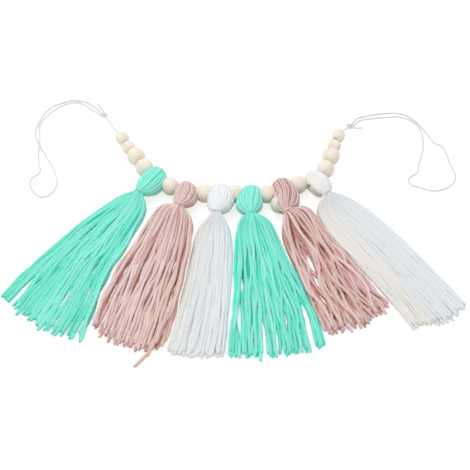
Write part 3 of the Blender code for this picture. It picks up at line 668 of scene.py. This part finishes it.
class Skein:
    """Twisted strands that are gathered into one mesh."""

    def __init__(self, plies, sides_per_ply, pitch, ply_depth_share):
        self.plies, self.sides = plies, plies * sides_per_ply
        self.pitch, self.depth = pitch, ply_depth_share
        self.verts, self.faces, self.marks = [], [], []
        self.count = 0

    def add(self, line, radii, along, side_way, tone, end_length=0.0, outward=UP, sunk=0.0, painted_tint_share=0.0,
            head_lit=0.0, shaded=0.0):
        """One strand round a line, its plies opening a little at each cut end, with its marks.

        The mark sunk says how far each point lies in from the mass's own surface, which is outward; with
        the sides turned away from outward it sets how far the painted bounce light goes.
        """
        rings, sides = len(line), self.sides
        tangent = unit(np.gradient(line, axis=0))
        side = unit(side_way - tangent * (tangent @ side_way)[:, None])
        lift = np.cross(tangent, side)
        angle = math.tau * np.arange(sides) / sides
        turn = math.tau * along / self.pitch + tone * math.tau
        depth = np.full(rings, self.depth)
        if end_length:
            left = np.minimum(along, along[-1] - along)
            opening = np.clip(1 - left / end_length, 0, 1)
            depth = depth + CUT_END_OPENING * opening
            radii = radii * (1 - CUT_END_TAPER * opening ** 2)
        wave = np.cos(self.plies * angle)
        size = radii[:, None] * (1 - depth[:, None] * (1 - wave[None, :]) / 2)
        around = angle[None, :] + turn[:, None]
        normal = (side[:, None, :] * np.cos(around)[..., None]
                  + lift[:, None, :] * np.sin(around)[..., None])
        ring = line[:, None, :] + normal * size[..., None]
        facing = (normal * np.broadcast_to(outward, line.shape)[:, None, :]).sum(axis=2)
        # How far each point takes the painted bounce light: sunk strands, and the sides turned into the
        # mass
        inward = np.clip(np.broadcast_to(sunk, rings)[:, None] + SIDE_BOUNCE * (1 - facing), 0, 1)
        self.verts.append(ring.reshape(-1, 3))
        # The groove mark, with the painted shade of the head's inner yarns added
        groove = (1 - wave[None, :]) / 2 + np.broadcast_to(shaded, rings)[:, None]
        self.marks.append(np.stack([
            np.full(rings * sides, tone), np.repeat(along, sides), groove.reshape(-1),
            inward.reshape(-1), np.full(rings * sides, painted_tint_share),
            np.repeat(np.broadcast_to(head_lit, rings), sides),
        ], axis=1))
        index = self.count + np.arange(rings * sides).reshape(rings, sides)
        onward = np.roll(index, -1, axis=1)
        self.faces.extend(np.stack(
            [index[:-1], onward[:-1], onward[1:], index[1:]], axis=-1).reshape(-1, 4).tolist())
        self.faces.append(index[0][::-1].tolist())
        self.faces.append(index[-1].tolist())
        self.count += rings * sides

    def mesh(self, name):
        mesh = bpy.data.meshes.new(name)
        mesh.from_pydata(np.concatenate(self.verts).tolist(), [], self.faces)
        marks = np.concatenate(self.marks)
        for k, label in enumerate(YARN_MARKS):
            mesh.attributes.new(label, "FLOAT", "POINT").data.foreach_set(
                "value", marks[:, k].astype(np.float32))
        mesh.shade_smooth()
        mesh.update()
        return mesh


# How a tassel's yarns lie

def heading_way(degrees):
    angle = math.radians(degrees)
    return np.array([math.cos(angle), math.sin(angle), 0.0])


def turned_way(way, degrees):
    """A level way turned about the vertical."""
    return heading_way(math.degrees(math.atan2(way[1], way[0])) + degrees)


def soft_step(x):
    x = np.clip(x, 0.0, 1.0)
    return x * x * (3 - 2 * x)


def station_curve(values, shares):
    """Values at the width stations, read off as one smooth curve at the shares."""
    stations = WIDTH_STATION_SHARES + (SKIRT_GRID[-1],)
    line = np.interp(SKIRT_GRID, stations, values + (values[-1] * WIDTH_GAIN_PAST_END,))
    held = smooth_rows(line[:, None], WIDTH_SMOOTHING)[:, 0]
    held = np.where(SKIRT_GRID < ROOT_SHARE, line, held)
    return np.interp(shares, SKIRT_GRID, held)


def skirt_line(values, neck, shares):
    """The middle line of the skirt at the shares, with its ways across."""
    first, last = values["headings"]
    turned = np.radians(first + (last - first) * SKIRT_GRID)
    ways = np.stack([np.cos(turned), np.sin(turned), np.zeros_like(turned)], axis=1)
    steps = ways * values["length"] * (SKIRT_GRID[1] - SKIRT_GRID[0])
    line = np.concatenate([[neck], neck + np.cumsum(steps[:-1], axis=0)])
    across = np.radians(first + (last - first) * shares + 90)
    across_way = np.stack([np.cos(across), np.sin(across), np.zeros_like(across)], axis=1)
    return read_line(line, SKIRT_GRID, shares), across_way


def slow_wave(rng, along, reach):
    """A gentle sideways wander along a strand, nothing at its root."""
    wave = np.zeros_like(along)
    for length, weight in WANDER_WAVES:
        wave += weight * np.sin(math.tau * (along / length + rng.random()))
    root = np.sin(math.tau * rng.random())
    return reach * (wave - wave[0] + WANDER_LEAN * root) * soft_step(along / WANDER_ROOT)


def pile_up(across, radii, rank, press):
    """Heights of strands that lie on the surface and on each other, from the lowest rank up."""
    heights = np.zeros_like(across)
    laid = []
    for k in np.argsort(rank):
        height = radii.copy()
        for other in laid:
            apart = np.abs(across[k] - across[other])
            contact = 2 * radii * press
            over = heights[other] + np.sqrt(np.maximum(contact ** 2 - apart ** 2, 0.0)) * press
            height = np.where(apart < contact, np.maximum(height, over), height)
        heights[k] = height
        laid.append(k)
    return heights


def skirt_places(values, starts, shares, rng):
    """The seat of each strand across the skirt, from its left at 0 to its right at 1, and its course."""
    count = len(starts)
    order = np.argsort(starts[:, 0] + SEAT_JITTER * rng.standard_normal(count))
    seat = np.empty(count)
    seat[order] = (np.arange(count) + 0.5) / count
    spread = 0.5 / count
    first = seat + spread * rng.uniform(-SEAT_SPREAD, SEAT_SPREAD, count)
    lock = (np.floor(seat * values["locks"]) + 0.5) / values["locks"]
    stray = values["stray"] * STRAY_SHARE * rng.standard_normal(count)
    last = seat + LOCK_PULL * (lock - seat) + stray + spread * rng.uniform(-1.0, 1.0, count)
    last = np.clip(last, spread * SEAT_SPREAD, 1 - spread * SEAT_SPREAD)
    part = soft_step((shares[None, :] - COURSE_FROM) / COURSE_OVER)
    return seat, first[:, None] + (last - first)[:, None] * part


def skirt_heights(values, starts, across, radii, shares, rng):
    """How high each strand lies under the skirt's crown, and how far it is sunk below its neighbours."""
    rank = starts[:, 1] + RANK_JITTER * rng.standard_normal(len(starts))
    piled = pile_up(across, radii, rank, values["press"])
    piled = smooth_rows(piled.T, PILE_SMOOTHING).T
    near = np.abs(across[:, None, :] - across[None, :, :]) < 2 * YARN_RADIUS
    cover = np.where(near, piled[None, :, :], 0.0).max(axis=1)
    # How far each strand is sunk below its neighbours, which sets its painted bounce light
    sunk = np.clip((cover - piled) / (2 * YARN_RADIUS) - SUNK_FROM, 0, 1)
    low = np.interp(shares, CROWN_STATION_SHARES, CROWN_LOW)
    high = np.interp(shares, CROWN_STATION_SHARES, CROWN_HIGH)
    return low + piled * np.minimum(1.0, (high - low) / piled.max(axis=0)), sunk


def lay_skirt(values, neck, starts, rng):
    """Each strand's line from its start in the neck to its cut end, its radii, how sunk it is, its share of
    the painted reflection.
    """
    steps = int(values["length"] * SKIRT_REACH_SHARE / PILE_STEP)
    shares = np.linspace(0.0, SKIRT_REACH_SHARE, steps)
    along = shares * values["length"]
    middle, across_way = skirt_line(values, neck * (1, 1, 0), shares)
    widths = station_curve(values["left"], shares), station_curve(values["right"], shares)
    seat, place = skirt_places(values, starts, shares, rng)
    room = [width - YARN_RADIUS for width in widths]
    across = -room[0] + (room[0] + room[1]) * place
    edge = EDGE_OVERLAP * YARN_RADIUS
    for k in range(len(starts)):
        across[k] += slow_wave(rng, along, WANDER_REACH * values["stray"])
        across[k] = np.clip(across[k], edge - widths[0], widths[1] - edge)
    radii = NECK_YARN_RADIUS + (YARN_RADIUS - NECK_YARN_RADIUS) * soft_step(along / THICKEN_REACH)
    heights, sunk = skirt_heights(values, starts, across, radii, shares, rng)
    leave = soft_step(along / LEAVE_NECK_REACH)
    out_way = np.cross(across_way, UP)
    x = along / ARCH_REACH
    strands = []
    for k in range(len(starts)):
        height = (1 - leave) * (neck[2] + starts[k, 1]) + leave * heights[k]
        sideways = (1 - leave) * starts[k, 0] + leave * across[k]
        line = middle + across_way * sideways[:, None]
        side = int(sideways[-1] > 0)
        arch = values["arch"][side] * np.clip(abs(sideways) / widths[side], 0, 1)
        line -= out_way * (arch * x * np.exp(1 - x))[:, None]
        line[:, 2] = np.maximum(height, radii * REST_SHARE)
        line = smooth_rows(line, STRAND_SMOOTHING)
        uneven = values["ragged"] * (RAGGED_SPREAD * rng.standard_normal() + rng.random())
        cut = values["length"] * (1 + uneven + values["slant"] * (seat[k] - 0.5))
        ways = distances(line)
        keep = np.linspace(0.0, min(cut, ways[-1]), steps)
        # Painted reflection of a neighbouring tassel, strongest at the edge strands on its side
        painted_tint_share = max(0.0, 1 - abs(seat[k] - values["painted_tint_at"]) / PAINTED_TINT_REACH) * values["painted_tint"]
        strands.append((
            read_line(line, ways, keep), np.interp(keep, ways, radii), np.interp(keep, ways, sunk[k]),
            painted_tint_share,
        ))
    return strands


def head_frame(values, cord, axis, neck):
    """The head's level middle line from the cord to the neck, its ways across, and the way off the cord."""
    square = -np.cross(UP, axis)
    if square @ (neck - cord) < 0:
        square = -square
    reach = np.linalg.norm((neck - cord)[:2])
    out = heading_way(values["headings"][0])
    t = np.linspace(0.0, 1.0, HEAD_STEPS)[:, None]
    flat_cord, flat_neck = cord * (1, 1, 0), neck * (1, 1, 0)
    line = (flat_cord * (2 * t ** 3 - 3 * t ** 2 + 1) + square * reach * (t ** 3 - 2 * t ** 2 + t)
            + flat_neck * (3 * t ** 2 - 2 * t ** 3) + out * reach * (t ** 3 - t ** 2))
    ways = unit(np.gradient(line, axis=0))
    return line, np.cross(UP, ways), square


def head_strand(shape, angle, sunk, upper):
    """One yarn's line over the head, or under it, from the cord's line to the neck."""
    share = shape["share"]
    bead_part = soft_step(share / SHIFT_FADE) * soft_step((1 - share) / SHIFT_FADE_BY_NECK)
    bare, fade = shape["bare"], BARE_FADE
    if not upper:
        bare, fade = min(1.0, bare * BARE_GAIN_BELOW), BARE_FADE_BELOW
    bare = bare * (angle > math.pi / 2)
    bare = bare * soft_step((share - BARE_FROM) / BARE_FADE) * soft_step((1 - share) / fade)
    turn = angle + bare * (math.pi / 2 - angle)
    tall = (shape["top"] if upper else shape["bottom"]) - sunk
    sideways = (shape["wide"] - sunk) * np.cos(turn) + shape["shift"] * bead_part
    line = shape["line"] + shape["across"] * sideways[:, None]
    line[:, 2] = shape["middle"] + (tall if upper else -tall) * np.sin(turn)
    return line


def head_shape(name, values, cord, axis, neck):
    """Half-widths and heights of the layer of yarn over the head, from the cord to the neck."""
    line, across, square = head_frame(values, cord, axis, neck)
    low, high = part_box(name + "_core_bead")
    bead, bead_radius = node_centre(name + "_core_bead"), (high.z - low.z) / 2
    share = np.linspace(0.0, 1.0, HEAD_STEPS)
    nearest = int(np.argmin(np.linalg.norm((line - bead) * (1, 1, 0), axis=1)))
    at_bead = share[nearest]
    aside = float((bead - line[nearest]) @ across[nearest])
    gathered = at_bead + (1 - at_bead) * GATHERED_SHARE
    stations = (0.0, at_bead * SHOULDER_SHARE, at_bead, gathered, 1.0)
    r = HEAD_YARN_RADIUS
    fold_half, rise = values["fold_half"], values["rise"]

    def along(*stops):
        """One smooth course through its values at the fold, shoulder, bead, gathering and neck."""
        curve = np.interp(share, stations, stops)
        return smooth_rows(curve[:, None], HEAD_SMOOTHING)[:, 0]

    return {
        "share": share, "line": line, "across": across, "cord": cord,
        "wide": along(
            fold_half - r, fold_half, bead_radius + HEAD_SIDE_ROOM + values["puff"] - r,
            bead_radius + GATHERED_SIDE_ROOM, NECK_RADIUS),
        "middle": along(
            cord[2], cord[2] + SHOULDER_RISE, bead[2], (bead[2] + neck[2]) / 2, neck[2]),
        "top": along(
            FOLD_TOP + rise - r, SHOULDER_TOP + rise * SHOULDER_RISE_SHARE - r,
            bead_radius + HEAD_TOP_ROOM - r, bead_radius + GATHERED_TOP_ROOM, NECK_RADIUS),
        "bottom": along(
            cord[2] - r, cord[2] + SHOULDER_RISE - r, bead[2] - r,
            bead_radius + GATHERED_BOTTOM_ROOM, NECK_RADIUS),
        "depth": values["fold_depth"], "corner": values["corner"],
        "back": turned_way(-square, values["fold_turn"]),
        "shift": aside * (BARE_SHIFT_SHARE if values["bare"] else 1.0) + values["lean"],
        "bare": values["bare"],
    }


def fold_back(shape, angle, sunk):
    """The half turn of a yarn behind the cord, from its line below to its line above."""
    squared = max(FOLD_LEAST_DEPTH, 1 - shape["corner"] * math.cos(angle) ** 2)
    depth = shape["depth"] * math.sqrt(squared) - sunk
    swing = np.linspace(-math.pi / 2, math.pi / 2, FOLD_STEPS + 2)[1:-1]
    sideways = (shape["wide"][0] - sunk) * math.cos(angle) * (1 - FOLD_NARROWING * np.cos(swing))
    tall_up, tall_down = shape["top"][0] - sunk, shape["bottom"][0] - sunk
    rise = np.where(swing > 0, tall_up, tall_down) * math.sin(angle)
    line = shape["cord"] + shape["across"][0] * sideways[:, None]
    line = line + shape["back"] * (np.cos(swing) * depth)[:, None]
    line[:, 2] = shape["middle"][0] + rise * np.sin(swing)
    return line


def loosened(strand):
    """A strand, painted all over in the warm tint for the greyer colour that its shade gives it, whose end
    leaves the skirt along its own route.
    """
    line, radii, sunk, _ = strand
    kept = int(len(line) * LOOSE_FROM_SHARE)
    away = smooth_route([line[kept], *LOOSE_ROUTE], LOOSE_STEPS)[1:]
    line = smooth_rows(np.concatenate([line[:kept], away]), LOOSE_SMOOTHING)
    held = np.full(len(away), radii[kept])
    return line, np.concatenate([radii[:kept], held]), np.concatenate([sunk[:kept], held * 0]), 1.0


def folded_yarns(rng):
    """The angle of each folded yarn round the head, from its right over to its left, and its depth."""
    outer = [math.pi * (k + 0.5) / FOLDED_OUTER for k in range(FOLDED_OUTER)]
    inner = [math.pi * (k + 1.0) / (FOLDED_INNER + 1) for k in range(FOLDED_INNER)]
    depths = np.array([0.0] * FOLDED_OUTER + [INNER_LAYER_DEPTH] * FOLDED_INNER)
    angles = np.array(outer + inner) + rng.uniform(-ANGLE_SPREAD, ANGLE_SPREAD, len(depths))
    return angles, depths + rng.uniform(0.0, LAYER_SPREAD, len(depths))


def outward_of(line, bead):
    """The ways out of the mass of yarn along a line: from the bead in the head, and up past it."""
    from_bead = line - bead
    ways = np.linalg.norm(from_bead, axis=1)[:, None]
    part = soft_step((ROUND_HEAD_REACH - ways) / ROUND_HEAD_BLEND)
    return unit(from_bead / ways * part + UP * (1 - part))


def build_tassel(name, values, joint):
    """A tassel's folded yarns, and the tie round its neck."""
    rng = np.random.default_rng(values["seed"])
    cord, axis = np.array(joint["pos_m"]), np.array(joint["axis"])
    neck, bead = node_centre(name + "_neck_tie"), node_centre(name + "_core_bead")
    shape = head_shape(name, values, cord, axis, neck)
    angles, depths = folded_yarns(rng)
    count = len(angles)
    outer = np.arange(count) < FOLDED_OUTER
    neck_radius = np.where(outer, NECK_RADIUS, NECK_INNER_RADIUS)
    upper = np.stack([neck_radius * np.cos(angles), neck_radius * np.sin(angles)], axis=1)
    strands = lay_skirt(values, neck, np.concatenate([upper, upper * (1, -1)]), rng)
    if name == LOOSE_TASSEL:
        strands[LOOSE_STRAND] = loosened(strands[LOOSE_STRAND])

    skein = Skein(YARN_PLIES, SIDES_PER_PLY, PLY_PITCH, PLY_DEPTH_SHARE)
    pinch = soft_step((1 - shape["share"]) / PINCH_SHARE)
    for k in range(count):
        bunch = (math.floor(angles[k] / math.pi * BUNCHES) + 0.5) / BUNCHES * math.pi
        angle = angles[k] + values["clump"] * (bunch - angles[k]) * outer[k]
        over = head_strand(shape, angle, depths[k], True)
        under = head_strand(shape, angle, depths[k], False)
        back = fold_back(shape, angle, depths[k])
        thick = HEAD_YARN_RADIUS * (values["slim"] if outer[k] else 1.0)
        thinned = NECK_YARN_RADIUS + (thick - NECK_YARN_RADIUS) * pinch
        low_line, low_radii, low_sunk, _ = strands[count + k]
        high_line, high_radii, high_sunk, painted_tint_share = strands[k]
        line = np.concatenate([low_line[:0:-1], under[::-1], back, over, high_line[1:]])
        radii = np.concatenate([
            low_radii[:0:-1], thinned[::-1], np.full(len(back), thick), thinned, high_radii[1:],
        ])
        folded = np.zeros(len(line))
        folded[len(low_line) - 1:len(line) - len(high_line) + 1] = 1
        # The head's share of the painted bounce light
        sunk = folded * values["head_bounce"] * (OUTER_BOUNCE_SHARE if outer[k] else 1.0)
        sunk[:len(low_line) - 1] = low_sunk[:0:-1]
        sunk[len(line) - len(high_line) + 1:] = high_sunk[1:]
        # Painted light on the head's yarns
        head_lit_share = folded * values["head_light"]
        # Painted shade on the head's inner yarns, which lie in the gaps between the outer ones
        shaded = folded * values["head_shade"] * (not outer[k])
        line, (radii, sunk, head_lit_share, shaded), along = resampled(
            line, (radii, sunk, head_lit_share, shaded), YARN_RING_STEP)
        line = smooth_rows(line, YARN_SMOOTHING)
        skein.add(line, radii, along, shape["across"][0], rng.random() + values["pale"],
                  CUT_END_LENGTH, outward_of(line, bead), sunk, painted_tint_share, head_lit_share, shaded)
    add_piece(name + "_yarns", skein.mesh(name + "_yarns"), values["yarn"], name, name + "_yarn")
    add_tie(name, values, neck, rng)


def add_tie(name, values, neck, rng):
    """A few tight turns of the same yarn round the neck, their two ends tucked in."""
    way = heading_way(values["headings"][0])
    across = np.cross(UP, way)
    turns = np.linspace(0.0, TIE_TURNS, TIE_STEPS)
    angle = turns * math.tau + rng.random()
    to_end = np.array([turns, TIE_TURNS - turns])
    tucked = soft_step((TIE_TUCKED_TURNS - to_end) / TIE_TUCKED_TURNS).sum(axis=0)
    reach = (NECK_RADIUS + NECK_YARN_RADIUS + TIE_RADIUS * TIE_SEAT) * (1 - TIE_TUCK * tucked)
    line = (neck + across * (np.cos(angle) * reach)[:, None] + UP * (np.sin(angle) * reach)[:, None]
            + way * ((turns / TIE_TURNS - 0.5) * TIE_RADIUS * TIE_SPREAD)[:, None])
    line, (radii,), along = resampled(line, [np.full(TIE_STEPS, TIE_RADIUS)], TIE_RING_STEP)
    skein = Skein(YARN_PLIES, SIDES_PER_PLY, PLY_PITCH * TIE_PITCH_SHARE, PLY_DEPTH_SHARE)
    skein.add(line, radii, along, way, TIE_TONE)
    piece = name + "_neck_turns"
    add_piece(piece, skein.mesh(piece), values["yarn"], name, name + "_neck_tie")


# Beads

def bead_mesh(name, radius, half_length, rng):
    """A turned bead about the X axis: a soft barrel with a bore whose rims are eased."""
    rim = math.asin((BORE_RADIUS + BORE_CHAMFER) / radius)
    outline = []
    for step in range(BEAD_RINGS + 1):
        angle = rim + (math.pi - 2 * rim) * step / BEAD_RINGS
        outline.append((half_length * math.cos(angle) / math.cos(rim), radius * math.sin(angle)))
    eased_at, eased = half_length - BORE_CHAMFER * RIM_EASE, BORE_RADIUS + BORE_CHAMFER * RIM_EASE
    inside = half_length - BORE_CHAMFER
    outline += [(-eased_at, eased), (-inside, BORE_RADIUS), (0.0, BORE_RADIUS), (inside, BORE_RADIUS),
                (eased_at, eased)]
    outline = np.array(outline)
    angle = math.tau * np.arange(BEAD_SEGMENTS) / BEAD_SEGMENTS
    uneven = np.full(BEAD_SEGMENTS, ROUNDNESS)
    for waves, height in OUT_OF_ROUND:
        uneven += height * np.sin(waves * angle + rng.random() * PHASE_RANGE)
    verts = np.empty((BEAD_SEGMENTS, len(outline), 3))
    verts[..., 0] = outline[None, :, 0]
    verts[..., 1] = outline[None, :, 1] * (np.cos(angle) * uneven)[:, None]
    verts[..., 2] = outline[None, :, 1] * (np.sin(angle) * uneven)[:, None]
    index = np.arange(BEAD_SEGMENTS * len(outline)).reshape(BEAD_SEGMENTS, len(outline))
    onward, inward = np.roll(index, -1, axis=0), np.roll(index, -1, axis=1)
    faces = np.stack([index, inward, np.roll(onward, -1, axis=1), onward], axis=-1).reshape(-1, 4)
    mesh = bpy.data.meshes.new(name)
    mesh.from_pydata(verts.reshape(-1, 3).tolist(), [], faces.tolist())
    mesh.shade_smooth()
    return mesh


def add_bead(node, body, axis, rng, core_share=1.0):
    """A wooden bead in a CAD bead's place, its bore along the axis and its grain turned at random."""
    low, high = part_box(node)
    x_way = Vector(axis).normalized()
    size = high - low
    if abs(x_way.z) > 0.5:
        length, diameter = size.z * core_share, (size.x + size.y) / 2 * core_share
    else:
        share = SMALL_BEAD_LENGTH_SHARE if size.z < SMALL_BEAD_LIMIT else 1.0
        length, diameter = size.z * share, size.z
    mesh = bead_mesh(node + "_wood", diameter / 2, length / 2, rng)
    turn = Matrix.Rotation(rng.random() * math.tau, 4, "X")
    bore_way = x_way.to_track_quat("X", "Z").to_matrix().to_4x4()
    place = Matrix.Translation((low + high) / 2) @ bore_way @ turn
    add_piece(node + "_wood", mesh, "wood", body, node, place)


# Cord

def smooth_route(points, steps):
    """A Catmull-Rom curve through the points."""
    points = np.array(points)
    held = np.concatenate([[2 * points[0] - points[1]], points, [2 * points[-1] - points[-2]]])
    out = []
    for a, b, c, d in zip(held, held[1:], held[2:], held[3:]):
        for t in np.arange(steps) / steps:
            out.append(0.5 * (
                2 * b + (c - a) * t + (2 * a - 5 * b + 4 * c - d) * t ** 2
                + (3 * b - a - 3 * c + d) * t ** 3
            ))
    out.append(points[-1])
    return np.array(out)


def add_cord(node, line, sunk=0.0):
    """A run of the twisted cord in a CAD node's place, with the line that it follows."""
    line, (radii,), along = resampled(line, [np.full(len(line), CORD_RADIUS)], CORD_RING_STEP)
    skein = Skein(CORD_PLIES, SIDES_PER_PLY, CORD_PITCH, CORD_PLY_DEPTH_SHARE)
    skein.add(line, radii, along, UP, CORD_TONE, sunk=sunk)
    return add_piece(node + "_twist", skein.mesh(node + "_twist"), "cord", "cord", node), line


def knot_line(centre):
    """A trefoil, the line of an overhand knot, round its middle."""
    t = np.linspace(0.0, math.tau, KNOT_POINTS)
    out = KNOT_RADIUS + KNOT_WAVE * np.cos(3 * t)
    return centre + np.stack([
        out * np.cos(2 * t), out * np.sin(2 * t), KNOT_WAVE * np.sin(3 * t)], axis=1)


def into_knot(route, both):
    """A route that starts inside the knot, and that ends there too where both its ends do."""
    route = np.array([(*point, CORD_RADIUS)[:3] for point in route])
    pull = np.array([INTO_KNOT_SHARE, INTO_KNOT_SHARE, 1.0])
    inside = [route[-1] * pull] if both else np.empty((0, 3))
    return np.concatenate([[route[0] * pull], route, inside])


def threaded_points(first, last):
    """Points of the threaded cord, which runs straight through each bore and bends between the pieces."""
    points = [first]
    onward = [np.array(joint["pos_m"]) for joint in frame["joints"][1:]] + [last]
    for joint, after in zip(frame["joints"], onward):
        stop = np.array(joint["pos_m"])
        if joint["child"] in TASSELS:
            points.append(stop)
            continue
        low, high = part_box(joint["child"])
        way = unit(np.array(joint["axis"]))
        reach = way * np.sign(way @ (after - stop)) * (high.z - low.z) / 2 * STRAIGHT_SHARE
        points += [stop - reach, stop + reach]
    return points + [last]


def add_cords():
    """The threaded cord, its two knots, and the loop and the tail past each knot."""
    left_knot, right_knot = node_centre("left_knot"), node_centre("right_knot")
    add_cord("threaded_cord", smooth_route(threaded_points(left_knot, right_knot), RUN_STEPS))
    for side, knot, loop, tail in (
        ("left", left_knot, LEFT_LOOP_ROUTE, LEFT_TAIL_ROUTE),
        ("right", right_knot, RIGHT_LOOP_ROUTE, RIGHT_TAIL_ROUTE),
    ):
        ground = knot * (1, 1, 0)
        knot_piece, _ = add_cord(side + "_knot", knot_line(knot), KNOT_BOUNCE)
        tail_line = smooth_route(ground + into_knot(tail, False), TAIL_STEPS)
        tail_piece, _ = add_cord(side + "_tail", tail_line)
        loop_line = smooth_route(ground + into_knot(loop, True), RUN_STEPS)
        piece, path = add_cord(side + "_loop", loop_line)


def main():
    set_camera()
    add_cords()
    set_light()
    add_floor()
    rng = np.random.default_rng(BEAD_SEED)
    for joint in frame["joints"]:
        name = joint["child"]
        if name in TASSELS:
            build_tassel(name, TASSELS[name], joint)
            add_bead(name + "_core_bead", name, (0.0, 0.0, 1.0), rng, TASSELS[name]["core_share"])
        else:
            add_bead(name, name, joint["axis"], rng)


MATERIALS = make_materials()
main()
bpy.context.scene.view_settings.view_transform = "Standard"
bpy.context.view_layer.update()
